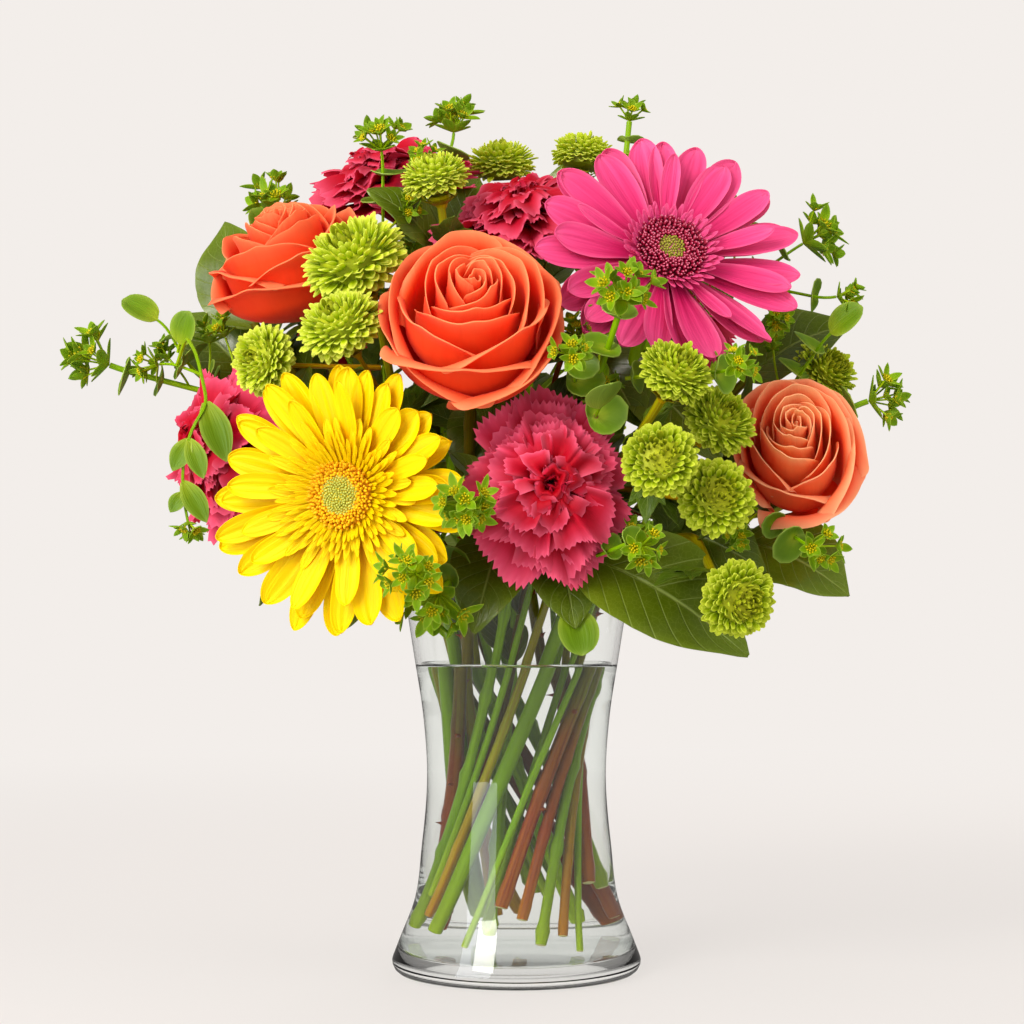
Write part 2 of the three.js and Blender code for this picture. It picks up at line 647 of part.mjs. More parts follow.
// A button chrysanthemum: a flattened ball whose florets stand out as points.
function pomHead(reach, seed) {
  const [sides, levels] = [8, 5];
  const ball = new THREE.SphereGeometry(1, sides, levels).rotateX(Math.PI / 2);
  const draw = seeded(seed);
  const longest = 0.96 + 0.04 * draw();
  warp(ball, (place) => {
    const level = Math.round(Math.acos(THREE.MathUtils.clamp(place.z, -1, 1)) / Math.PI * levels);
    const step = Math.round(Math.atan2(place.y, place.x) / TURN * sides);
    const floret = (step + level) % 2 === 0 || level === 0 || level === levels;
    const swell = reach * (floret ? longest : 0.78);
    const low = place.z < 0 ? 0.55 : 0.7;
    return new THREE.Vector3(place.x * swell, place.y * swell, place.z * swell * low);
  });
  ball.computeBoundingBox();
  return toSolid(ball.translate(0, 0, -ball.boundingBox.min.z));
}

function pomCup() {
  return [turned([[0, -6], [1.3, -6], [4.6, -GAP], [0, -GAP]], 5)];
}

// A bupleurum umbel: five pointed bracts round a tuft of florets.
const UMBEL_OUTLINE = [[0, 0], [1, 0.5], [0.36, 0.4], [0.32, 0.8], [0, 0.95]];

function umbel(reach, seed) {
  const draw = seeded(seed);
  const sides = 8;
  const outline = UMBEL_OUTLINE.map(([radius, height]) => [radius * reach, height * reach]);
  const cup = toothed(turned(outline, sides), sides, reach * 0.9, 0.42);
  return [cup.rotateZ(TURN * draw())];
}

// ---- Laying out the bouquet --------------------------------------------------------------

// Length of the straight run of stem under each head.
const NECK = { gerbera: 16, rose: 14, carnation: 24, pom: 6, bupleurum: 4, leaf: 4 };
const FREE_STEPS = 3; // bending stations between the collar and the neck
const drawCut = seeded(11);

// A rod that starts in the vase and ends in a head.
function mainStem(name, kind, head, cut) {
  const stem = { name, kind, head, cut, radius: STEM_RADIUS[kind], end: head.base };
  stem.waist = waistFor(head.base);
  return stem;
}

function routeMain(stem) {
  const foot = spiral(stem.waist, footHeight(stem, stem.cut));
  const collar = spiral(stem.waist, COLLAR);
  const leaving = collar.clone().sub(foot).normalize();
  const neck = stem.end.clone().addScaledVector(stem.head.facing, -NECK[stem.kind]);
  const run = climb(collar, leaving, neck, stem.head.facing, FREE_STEPS);
  stem.points = [foot, ...run, stem.end.clone()];
  stem.free = (k) => k > 1 && k < stem.points.length - 2;
}

// A side shoot of a stem, which leaves it at one of its stations.
function sideShoot(parent, joint, head, kind) {
  const start = parent.points[joint];
  const leaving = start.clone().sub(parent.points[joint - 1]).normalize();
  const neck = head.base.clone().addScaledVector(head.facing, -NECK.bupleurum);
  const run = climb(start, leaving, neck, head.facing, 3);
  const shoot = { parent, joint, head, radius: BRANCH_RADIUS[kind], points: [...run, head.base.clone()] };
  shoot.free = (k) => k > 0 && k < shoot.points.length - 2;
  return shoot;
}


const bouquet = new THREE.Group();
const heads = [];
const stems = [];
const shoots = [];

function addStem(name, kind, head) {
  const stem = mainStem(name, kind, head, mix(LOWEST_CUT, HIGHEST_CUT, drawCut() ** 1.6));
  stems.push(stem);
  return stem;
}

Object.entries(BLOOMS).forEach(([name, bloom], i) => {
  const head = headOf(bloom.kind, bloom, i * GOLDEN_ANGLE);
  heads.push(head);
  addStem(name, bloom.kind, head);
});

const branched = [];
function addSpray(name, kind, sprayHeads) {
  const stem = addStem(name, kind, sprayHeads[0]);
  branched.push({ stem, kind, rest: sprayHeads.slice(1), all: sprayHeads });
  heads.push(...sprayHeads);
}

Object.entries(POM_SPRAYS).forEach(([name, list]) => {
  addSpray(name, 'pom', list.map((pom) => headOf('pom', pom)));
});
Object.entries(BUPLEURUM_SPRAYS).forEach(([name, list]) => {
  addSpray(name, 'bupleurum', list.map((spec) => headOf('umbel', spec)));
});

// The root of a broad leaf counts as a small head that the stem arrives at.
function leafHead(leaf) {
  const base = point(leaf.root);
  const along = point(leaf.tip).sub(base);
  const facing = along.clone().normalize();
  const normal = heading(leaf.faces).projectOnPlane(facing).normalize();
  const middle = base.clone().addScaledVector(along, 0.5);
  const plate = { facing: normal, middle, reach: along.length() * 0.45, depth: 12 };
  return { leaf, plate, base, facing, middle: base.clone(), reach: 3, depth: 3 };
}
Object.entries(LEAF_STEMS).forEach(([name, list]) => {
  const roots = list.map(leafHead);
  const stem = addStem(name, 'leaf', roots[0]);
  branched.push({ stem, kind: 'leaf', rest: roots.slice(1), all: roots });
  heads.push(...roots.map((head) => head.plate));
});

spreadWaist(stems);
stems.forEach(routeMain);
branched.forEach(({ stem, kind, rest }) => rest.forEach((head, i) => {
  shoots.push(sideShoot(stem, 2 + (i % 2), head, kind));
}));
settle([...stems, ...shoots], heads);

// ---- Making the pieces -------------------------------------------------------------------

const placed = []; // solids in the bouquet's own frame, for keeping later ones clear

const NUDGES = [[0, 0, 0], [1, 0, 0], [-1, 0, 0], [0, 1, 0], [0, -1, 0], [0, 0, 1], [0, 0, -1]];

// Cuts a piece back where it comes nearer than the gap to pieces already there.
function cutClear(solid) {
  let clear = solid;
  placed.filter((other) => clear.minGap(other, GAP) < GAP).forEach((other) => {
    NUDGES.forEach((nudge) => {
      clear = clear.subtract(other.translate(nudge.map((way) => way * (GAP + 0.05))));
    });
  });
  return clear.decompose().sort((a, b) => b.volume() - a.volume())[0];
}

function addMesh(name, geometry, colour, roughness = 0.6, group = bouquet) {
  const mesh = new THREE.Mesh(geometry, new THREE.MeshStandardMaterial({ color: colour, roughness }));
  mesh.name = name;
  group.add(mesh);
  return mesh;
}

// Adds a piece that is modelled in the bouquet's frame.
function addPiece(name, solid, colour, roughness) {
  const clear = cutClear(solid);
  placed.push(clear);
  addMesh(name, toGeometry(clear), colour, roughness);
}

// Adds the pieces of a head in a group of their own that stands on its stem.
function addHead(head, parts) {
  const group = new THREE.Group();
  head.frame.decompose(group.position, group.quaternion, group.scale);
  bouquet.add(group);
  parts.forEach(({ name, solid, colour }) => {
    placed.push(solid.transform(head.frame.elements));
    addMesh(name, toGeometry(solid), colour, 0.7, group);
  });
}

const inFrame = (pieces, frame) => pieces.map((piece) => piece.applyMatrix4(frame));

addMesh('vase', vaseGeometry(), COLOURS.glass, 0.03);
addMesh('water', toGeometry(waterSolid(stems)), COLOURS.water, 0.02);

Object.keys(BLOOMS).forEach((name, i) => {
  const { kind } = BLOOMS[name];
  const head = heads[i];
  const petals = { gerbera: gerberaPetals, rose: rosePetals, carnation: carnationPetals }[kind];
  const colour = {
    gerbera: name === 'gerbera_yellow' ? COLOURS.yellow : COLOURS.pink,
    rose: COLOURS.rose,
    carnation: COLOURS.carnation,
  }[kind];
  const parts = [{ name: `${name}_petals`, solid: petals(head.reach, 31 + i), colour }];
  if (kind === 'gerbera') {
    const discColour = name === 'gerbera_yellow' ? COLOURS.yellowDisc : COLOURS.pinkDisc;
    parts.push({ name: `${name}_disc`, solid: gerberaDisc(head.reach), colour: discColour });
  }
  addHead(head, parts);
});

Object.entries(POM_SPRAYS).forEach(([name, list], i) => {
  const spray = branched[i];
  spray.all.forEach((head, n) => {
    const solid = pomHead(list[n].reach, 7 * i + n);
    addHead(head, [{ name: `${name.replace('_stem', '')}_${n + 1}`, solid, colour: COLOURS.pom }]);
  });
});

// Everything that a stem is fused with at its top: the cup under a bloom.
function cupOf(stem) {
  const { kind, head } = stem;
  if (kind === 'gerbera') return inFrame(gerberaCup(head.reach), head.frame);
  if (kind === 'rose') return inFrame(roseCup(), head.frame);
  if (kind === 'carnation') return inFrame(carnationCup(), head.frame);
  return [];
}

// The stations of a rod, ended past its head's base by the length given.
function endedAt({ points, head }, past) {
  const end = points.at(-1).clone().addScaledVector(head.facing, past);
  return [...points.slice(0, -1), end];
}

stems.slice(0, Object.keys(BLOOMS).length).forEach((stem) => {
  const solid = fuse([rod(endedAt(stem, -GAP), stem.radius), ...cupOf(stem)]);
  const colour = stem.kind === 'rose' ? COLOURS.wood : COLOURS.stem;
  addPiece(`${stem.name}_stem`, solid, colour);
});

const LEAF = { thickness: 0.9, fullness: 0.8, tip: 0.06, fold: 0.22, arch: 0.1, wave: 1.2 };

// A broad leaf between its root and tip, folded a little along its midrib.
function broadLeaf({ root, tip, faces, width, along: steps = 3 }) {
  const start = point(root);
  const along = point(tip).sub(start);
  const length = along.length();
  const ahead = along.clone().normalize();
  const side = ahead.clone().cross(heading(faces)).normalize();
  const normal = side.clone().cross(ahead);
  return blade({
    across: 2, along: steps, thickness: LEAF.thickness,
    form: (u, v) => {
      const swell = Math.sin(Math.PI * Math.min(v * 0.98 + 0.02, 1) ** LEAF.fullness) ** LEAF.fullness;
      const half = width / 2 * mix(LEAF.tip, 1, swell);
      const fold = LEAF.fold * Math.abs(u) * half;
      const arch = LEAF.arch * length * Math.sin(Math.PI * v);
      const wave = LEAF.wave * Math.sin(v * 9) * u * u;
      return start.clone().addScaledVector(ahead, v * length - 1.5)
        .addScaledVector(side, -u * half)
        .addScaledVector(normal, fold + arch + wave);
    },
  });
}

// A round leaf at the end of a bupleurum shoot.
function roundLeaf({ base, facing, reach }) {
  const tip = base.clone().addScaledVector(facing, 2 * reach).toArray();
  const width = 1.7 * reach;
  return broadLeaf({ root: base.toArray(), tip, faces: [0.1, -0.7, 0.7], width, along: 2 });
}

branched.forEach(({ stem, kind, all }, i) => {
  const own = shoots.filter((shoot) => shoot.parent === stem);
  const past = kind === 'pom' ? -GAP : 2;
  const pieces = [rod(endedAt(stem, past), stem.radius)];
  own.forEach((shoot) => pieces.push(rod(endedAt(shoot, past), shoot.radius, 3)));
  all.forEach((head, n) => {
    if (kind === 'pom') pieces.push(...inFrame(pomCup(), head.frame));
    if (kind === 'bupleurum' && head.leaf) pieces.push(roundLeaf(head));
    if (kind === 'bupleurum' && !head.leaf) {
      pieces.push(...inFrame(umbel(head.reach, 5 * i + n), head.frame));
    }
    if (kind === 'leaf') pieces.push(broadLeaf(head.leaf));
  });
  const colour = { pom: COLOURS.stem, bupleurum: COLOURS.bupleurum, leaf: COLOURS.salal }[kind];
  addPiece(stem.name, fuse(pieces), colour);
});

export default bouquet;
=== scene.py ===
"""A mixed bouquet with gerberas in a clear glass vase.

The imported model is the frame: every stem is traced through its own solid there, and every bloom,
spray and leaf stands on the stem that carries it. Lengths are in millimetres until a mesh is made.
"""

import logging
import math
from dataclasses import dataclass, field
from enum import Enum
from functools import cache

import bpy
import numpy as np
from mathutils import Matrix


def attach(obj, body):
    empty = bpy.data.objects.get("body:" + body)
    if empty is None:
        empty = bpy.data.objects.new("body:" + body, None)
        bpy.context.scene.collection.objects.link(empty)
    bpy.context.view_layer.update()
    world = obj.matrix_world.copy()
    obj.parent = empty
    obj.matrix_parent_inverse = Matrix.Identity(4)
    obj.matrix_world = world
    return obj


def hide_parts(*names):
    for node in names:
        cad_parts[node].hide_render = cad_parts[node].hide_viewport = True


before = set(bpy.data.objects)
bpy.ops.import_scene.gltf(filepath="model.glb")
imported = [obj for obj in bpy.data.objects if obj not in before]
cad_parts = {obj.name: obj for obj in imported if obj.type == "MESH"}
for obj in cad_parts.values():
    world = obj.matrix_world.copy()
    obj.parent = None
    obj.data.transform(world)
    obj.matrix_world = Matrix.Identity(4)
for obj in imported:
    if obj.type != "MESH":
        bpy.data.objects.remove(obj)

LOG = logging.getLogger("bouquet")
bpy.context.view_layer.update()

Array = np.ndarray
Socket = bpy.types.NodeSocket
Material = bpy.types.Material
Colour = tuple[float, float, float]
Place = tuple[float, float, float]

MM = 0.001
TURN = 2 * math.pi
GOLDEN_ANGLE = TURN * 0.381966
UP = np.array([0.0, 0.0, 1.0])


# ---- Small sums ------------------------------------------


def unit(vector: Array) -> Array:
    """Returns the vector, or each vector of an array, at length one."""
    return vector / np.maximum(np.linalg.norm(vector, axis=-1, keepdims=True), 1e-9)


def mix(low: Array | float, high: Array | float, share: Array | float) -> Array | float:
    """Returns what lies between two values, at that share of the way."""
    return low + (high - low) * share


def ease(value: Array | float, low: float, high: float) -> Array:
    """Returns 0 below low, 1 above high, and a smooth rise between them."""
    share = np.clip((np.asarray(value, dtype=float) - low) / (high - low), 0, 1)
    return share * share * (3 - 2 * share)


def even(count: int, shift: Array | float = 0.0) -> Array:
    """Returns angles that share out a turn, shifted by a part of their distance."""
    return TURN * (np.arange(count) + shift) / count


def spokes(angle: Array) -> Array:
    """Returns the level directions at angles round +Z."""
    return np.stack([np.cos(angle), np.sin(angle), np.zeros(len(angle))], axis=1)


def spun(angle: Array | float) -> Array:
    """Returns the matrix, or matrices, that turn about +Z by an angle."""
    angle = np.asarray(angle, dtype=float)
    cos, sin, nil, one = np.cos(angle), np.sin(angle), np.zeros(angle.shape), np.ones(angle.shape)
    rows = [cos, -sin, nil, sin, cos, nil, nil, nil, one]
    return np.stack(rows, axis=-1).reshape(*angle.shape, 3, 3)


def turned_to(facing: Array, roll: float = 0.0) -> Array:
    """The shortest turn that takes +Z to a direction.

    Args:
        facing: the direction, of any length.
        roll: a turn about +Z made first.

    Returns:
        A 3 by 3 matrix.
    """
    way = unit(np.asarray(facing, dtype=float))
    cross = np.cross(UP, way)
    skew = np.array([[0, -cross[2], cross[1]], [cross[2], 0, -cross[0]], [-cross[1], cross[0], 0]])
    return (np.eye(3) + skew + skew @ skew / (1.0001 + way[2])) @ spun(roll)


def square_to(way: Array) -> tuple[Array, Array]:
    """Returns two directions square to each given way and to each other."""
    helper = np.where(np.abs(way[..., 2:]) > 0.8, np.array([1.0, 0, 0]), UP)
    side = unit(np.cross(helper, way))
    return side, np.cross(way, side)


def about(way: Array, angle: Array) -> Array:
    """Returns directions square to one way, at angles round it."""
    side, other = square_to(way)
    return np.cos(angle)[:, None] * side + np.sin(angle)[:, None] * other


def set_round(grids: Array, angle: Array) -> Array:
    """Returns blades, each turned about +Z by its angle."""
    return np.einsum("kij,knmj->knmi", spun(angle), grids)


def lengths_along(path: Array) -> Array:
    """Returns the length of a path up to each of its points."""
    return np.concatenate([[0], np.cumsum(np.linalg.norm(np.diff(path, axis=0), axis=1))])


def smoothed(path: Array, rounds: int) -> Array:
    """Returns a path with its kinks eased and its two ends kept."""
    path = path.copy()
    for _ in range(rounds):
        path[1:-1] = 0.25 * path[:-2] + 0.5 * path[1:-1] + 0.25 * path[2:]
    return path


def resampled(path: Array, step: float) -> Array:
    """Returns a path with its points about one step apart."""
    along = lengths_along(path)
    stations = np.linspace(0, along[-1], max(4, round(along[-1] / step)))
    return np.stack([np.interp(stations, along, path[:, axis]) for axis in range(3)], axis=1)


# ---- Forms of small leaves -------------------------------


class Outline(Enum):
    """How wide a small leaf is along its length."""

    OVATE = "ovate"
    LANCE = "lance"
    OVAL = "oval"
    ROUND = "round"
    SPOON = "spoon"

    def half_width(self, along: Array) -> Array:
        """Returns the half width, from 0 to 1, at each share of the length."""
        if self is Outline.OVATE:
            return np.maximum(np.sin(np.pi * along**0.72) ** 0.85, 0.03)
        if self is Outline.LANCE:
            return np.maximum(np.sin(np.pi * (0.04 + 0.96 * along) ** 0.6), 0.03)
        if self is Outline.OVAL:
            return np.maximum(np.sin(np.pi * np.minimum(0.05 + 0.95 * along, 1)) ** 0.75, 0.04)
        if self is Outline.ROUND:
            return np.sqrt(np.maximum(1 - (2 * along - 1) ** 2, 0.01))
        blunt = np.sqrt(np.maximum(1 - np.clip((along - 0.6) / 0.41, 0, 1) ** 3, 0.01))
        return mix(0.4, 1, ease(along, 0, 0.6)) * blunt


@dataclass(frozen=True)
class LeafForm:
    """A kind of small leaf, with the rows and columns of its grid.

    Its fold is how far its sides are raised, as a share of its half width. Its thickness, at the
    middle, and the wave of its margin are in millimetres.
    """

    outline: Outline
    fold: float
    grid: tuple[int, int]
    thickness: float
    wave: float = 0.0


SPOON_FLORET = LeafForm(Outline.SPOON, 0.4, (7, 5), 0.5)
GERBERA_BRACT = LeafForm(Outline.LANCE, 0.3, (6, 3), 0.5)
SEPAL = LeafForm(Outline.LANCE, 0.3, (9, 5), 0.6)
LEAFLET = LeafForm(Outline.OVATE, 0.22, (13, 9), 0.5, 0.6)
CALYX_TOOTH = LeafForm(Outline.LANCE, -0.3, (6, 5), 0.6)
NARROW_LEAF = LeafForm(Outline.LANCE, 0.5, (14, 5), 0.6)
BUTTON_BRACT = LeafForm(Outline.LANCE, 0.3, (5, 3), 0.4)
BUTTON_LOBE = LeafForm(Outline.OVATE, 0.18, (11, 7), 0.5, 0.5)
ROUND_LEAF = LeafForm(Outline.ROUND, 0.22, (13, 9), 0.55)
TWIG_LEAF = LeafForm(Outline.OVAL, 0.25, (13, 9), 0.5)
UMBEL_BRACT = LeafForm(Outline.OVAL, 0.3, (9, 7), 0.45)
STAR_BRACT = LeafForm(Outline.OVAL, 0.35, (8, 5), 0.35)


# ---- Meshes ----------------------------------------------

MARKS = ("across", "along", "tone", "under")
ROD_MARK = 100.0


@dataclass
class Tissue:
    """Closed thin blades, rods and turned forms, gathered until they become one mesh.

    Every vertex carries four marks that the finishes read. Across is -1 to 1 over a blade's width,
    along is the share of its length or, on a rod, the length over ROD_MARK, tone is a random number
    for each blade, and under is 1 on its lower side.
    """

    points: list[Array] = field(default_factory=list)
    quads: list[Array] = field(default_factory=list)
    marks: list[Array] = field(default_factory=list)
    slots: list[Array] = field(default_factory=list)
    size: int = 0

    def add(self, points: Array, quads: Array, marks: Array, slot: int) -> None:
        """Adds faces with their marks.

        Args:
            points: vertices, n by 3.
            quads: faces, by vertex number.
            marks: n by 4.
            slot: which of the piece's finishes the faces wear.
        """
        self.points.append(points)
        self.quads.append(quads + self.size)
        self.marks.append(marks)
        self.slots.append(np.full(len(quads), slot))
        self.size += len(points)

    def blades(self, grids: Array, tones: Array, thickness: float, slot: int = 0,
               along: Array | None = None) -> None:
        """Adds petals or leaves as thin closed shells.

        Args:
            grids: middle surfaces, blades by rows by columns by 3.
            tones: one random number for each blade.
            thickness: at the middle; the edges are thinner.
            slot: the finish.
            along: the share of the length at each row.
        """
        count, rows, columns = grids.shape[:3]
        across = np.linspace(-1, 1, columns)
        along = np.linspace(0, 1, rows) if along is None else along
        normal = unit(np.cross(np.gradient(grids, axis=2), np.gradient(grids, axis=1)))
        half = thickness / 2 * mix(1, 0.35, across**4)[None, None, :, None] * normal
        points = np.stack([grids + half, grids - half], axis=1).reshape(-1, 3)

        number = np.arange(rows * columns).reshape(rows, columns)
        low = number + rows * columns
        face = np.stack([number[:-1, :-1], number[:-1, 1:], number[1:, 1:], number[1:, :-1]], axis=-1)
        rim = np.concatenate([number[0], number[1:, -1], number[-1, -2::-1], number[-2:0:-1, 0]])
        ahead = np.roll(rim, -1)
        side = np.stack([low.ravel()[rim], low.ravel()[ahead], ahead, rim], axis=-1)
        face = face.reshape(-1, 4)
        one = np.concatenate([face, face[:, ::-1] + rows * columns, side])
        quads = (one[None] + (np.arange(count) * 2 * rows * columns)[:, None, None]).reshape(-1, 4)

        shape = (count, 2, rows, columns)
        marks = np.stack([
            np.broadcast_to(across, shape),
            np.broadcast_to(along[:, None], shape),
            np.broadcast_to(np.asarray(tones)[:, None, None, None], shape),
            np.broadcast_to(np.array([0.0, 1.0])[:, None, None], shape),
        ], axis=-1).reshape(-1, 4)
        self.add(points, quads, marks, slot)

    def rings(self, rings: Array, tones: Array, slot: int = 0, along: Array | None = None) -> None:
        """Adds rods as rings of points, closed at both ends.

        Args:
            rings: rods by rings by sides by 3, with an even number of sides.
            tones: one random number for each rod.
            slot: the finish.
            along: the mark along the rod at each ring.
        """
        count, rows, sides = rings.shape[:3]
        along = np.linspace(0, 1, rows) if along is None else along
        ends = rings[:, [0, -1]].mean(axis=2)
        points = np.concatenate([rings.reshape(count, -1, 3), ends], axis=1).reshape(-1, 3)
        number = np.arange(rows * sides).reshape(rows, sides)
        ahead = np.roll(number, -1, axis=1)
        wall = np.stack([number[:-1], ahead[:-1], ahead[1:], number[1:]], axis=-1).reshape(-1, 4)
        first, last, pair = rows * sides, rows * sides + 1, np.arange(0, sides, 2)
        after, next_pair = pair + 1, (pair + 2) % sides
        foot = np.stack([np.full(len(pair), first), next_pair, after, pair], axis=-1)
        top = number[-1]
        head = np.stack([np.full(len(pair), last), top[pair], top[after], top[next_pair]], axis=-1)
        one = np.concatenate([wall, foot, head])
        quads = (one[None] + (np.arange(count) * (rows * sides + 2))[:, None, None]).reshape(-1, 4)
        around = np.abs(np.linspace(-1, 1, sides, endpoint=False))
        marks = np.zeros((count, rows * sides + 2, 4))
        marks[:, :-2, 0] = np.tile(around, rows)
        marks[:, :-2, 1] = np.repeat(along, sides)
        marks[:, -2:, 1] = along[[0, -1]]
        marks[:, :, 2] = np.asarray(tones)[:, None]
        self.add(points, quads, marks.reshape(-1, 4), slot)

    def tube(self, path: Array, radii: Array | float, sides: int = 8, tone: float = 0.5,
             slot: int = 0) -> None:
        """Adds a rod along a path.

        Args:
            path: the rod's middle line.
            radii: its radius, at each point or throughout.
            sides: an even number.
            tone: its random mark.
            slot: the finish.
        """
        way = unit(np.gradient(path, axis=0))
        side = square_to(way[0])[0]
        frames = []
        for ahead in way:
            side = unit(side - ahead * (side @ ahead))
            frames.append((side, np.cross(ahead, side)))
        frames = np.array(frames)
        angle = even(sides)[:, None]
        spread = np.cos(angle) * frames[:, :1] + np.sin(angle) * frames[:, 1:]
        radii = np.broadcast_to(radii, len(path))[:, None, None]
        rings = (path[:, None] + radii * spread)[None]
        self.rings(rings, np.array([tone]), slot, lengths_along(path) / ROD_MARK)

    def spindles(self, roots: Array, ways: Array, lengths: Array | float, radii: Array | float,
                 profile: list[float], tones: Array, slot: int = 0, sides: int = 6) -> None:
        """Adds small turned forms: buds, florets, domes and thorns.

        Args:
            roots: where each stands.
            ways: the way each points.
            lengths: how long each is.
            radii: its greatest radius.
            profile: the share of that radius at even steps along it.
            tones: one random number for each.
            slot: the finish.
            sides: an even number.
        """
        ways = unit(ways)
        side, other = square_to(ways)
        angle = even(sides)[:, None]
        count = len(roots)
        lengths = np.broadcast_to(lengths, count)[:, None, None, None]
        radii = np.broadcast_to(radii, count)[:, None, None, None]
        rise = np.linspace(0, 1, len(profile))[:, None, None] * lengths
        spread = np.cos(angle) * side[:, None, None] + np.sin(angle) * other[:, None, None]
        swell = np.array(profile)[:, None, None] * radii
        self.rings(roots[:, None, None] + ways[:, None, None] * rise + spread * swell, tones, slot)

    def leaves(self, form: LeafForm, roots: Array, ways: Array, faces: Array, lengths: Array | float,
               widths: Array | float, tones: Array, slot: int, arch: Array | float) -> None:
        """Adds small leaves, bracts, sepals or florets.

        Args:
            form: their kind.
            roots: where each springs from.
            ways: the way each points.
            faces: the way its upper side looks.
            lengths: its length.
            widths: its full width.
            tones: its random mark.
            slot: its finish.
            arch: how far it bends up from its line, as a share of its length; below 0 it droops.
        """
        rows, columns = form.grid
        count = len(roots)
        ways = unit(ways)
        normal = unit(faces - (faces * ways).sum(axis=1, keepdims=True) * ways)
        side = np.cross(ways, normal)
        across, along = np.linspace(-1, 1, columns), np.linspace(0, 1, rows)[:, None]
        long = np.broadcast_to(lengths, count)[:, None, None]
        half = np.broadcast_to(widths, count)[:, None, None] / 2 * form.outline.half_width(along)
        bend = np.broadcast_to(arch, count)[:, None, None] * long
        ripple = form.wave * np.sin(along * 17 + np.asarray(tones)[:, None, None] * 20 + across) * across**2
        rise = bend * along**2 + form.fold * np.abs(across) * half + ripple
        ahead = long * along * np.ones(columns)
        self.blades(roots[:, None, None] + ahead[..., None] * ways[:, None, None]
                    + (half * across)[..., None] * side[:, None, None]
                    + rise[..., None] * normal[:, None, None], tones, form.thickness, slot)

    def turned(self, profile: list[tuple[float, float]], sides: int, slot: int = 0,
               scale: float = 1.0) -> None:
        """Adds a form of revolution round +Z, closed on the axis at both ends.

        Args:
            profile: pairs of a radius and a height, from below.
            sides: an even number.
            slot: the finish.
            scale: what the profile is multiplied by.
        """
        outline = np.array(profile)[:, None] * scale
        rings = outline[..., :1] * spokes(even(sides)) + outline[..., 1:] * UP
        self.rings(rings[None], np.array([0.5]), slot)

    def moved(self, matrix: Array, origin: Array) -> "Tissue":
        """Turns and moves everything added so far, and returns itself."""
        self.points = [points @ matrix.T + origin for points in self.points]
        return self

    def take(self, other: "Tissue") -> None:
        """Adds all that another holds."""
        for points, quads, marks, slots in zip(other.points, other.quads, other.marks, other.slots):
            self.points.append(points)
            self.quads.append(quads + self.size)
            self.marks.append(marks)
            self.slots.append(slots)
        self.size += other.size

    def make(self, name: str, finishes: tuple[str, ...], nodes: tuple[str, ...], slot: str,
             crease: float = 48.0) -> None:
        """Makes the mesh, and lets it ride on the body in place of its nodes.

        Args:
            name: the piece's name.
            finishes: the names of its finishes, by slot number.
            nodes: the nodes that it stands for.
            slot: the record's material slot; not used.
            crease: edges sharper than this, in degrees, stay sharp.
        """
        quads = np.concatenate(self.quads).astype(np.int32)
        mesh = bpy.data.meshes.new(name)
        mesh.vertices.add(self.size)
        mesh.vertices.foreach_set("co", (np.concatenate(self.points) * MM).astype(np.float32).ravel())
        mesh.loops.add(quads.size)
        mesh.loops.foreach_set("vertex_index", quads.ravel())
        mesh.polygons.add(len(quads))
        mesh.polygons.foreach_set("loop_start", np.arange(0, quads.size, 4, dtype=np.int32))
        mesh.polygons.foreach_set("material_index", np.concatenate(self.slots).astype(np.int32))
        mesh.update(calc_edges=True)
        marks = np.concatenate(self.marks).astype(np.float32)
        for number, mark in enumerate(MARKS):
            mesh.attributes.new(mark, "FLOAT", "POINT").data.foreach_set("value", marks[:, number].copy())
        mesh.validate()
        mesh.shade_smooth()
        mesh.set_sharp_from_angle(angle=math.radians(crease))
        for finish in finishes:
            mesh.materials.append(look(finish))
        piece = bpy.data.objects.new(name, mesh)
        bpy.context.scene.collection.objects.link(piece)
        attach(piece, "root")
        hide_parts(*nodes)
        LOG.info("%s: %d faces for %s", name, len(quads), ", ".join(nodes))


# ---- Finishes --------------------------------------------

RELIEF = 0.0006
VEIN_PAIRS = 8.0
VEIN_SLANT = 2.2
LAMP_SHARE = 0.8


def paint(colour: Colour) -> tuple[float, float, float, float]:
    """Returns a colour given as 0 to 255 on a screen, as the linear light that a shader takes."""
    light = [c / 255 / 12.92 if c <= 10 else ((c / 255 + 0.055) / 1.055) ** 2.4 for c in colour]
    return (*light, 1.0)


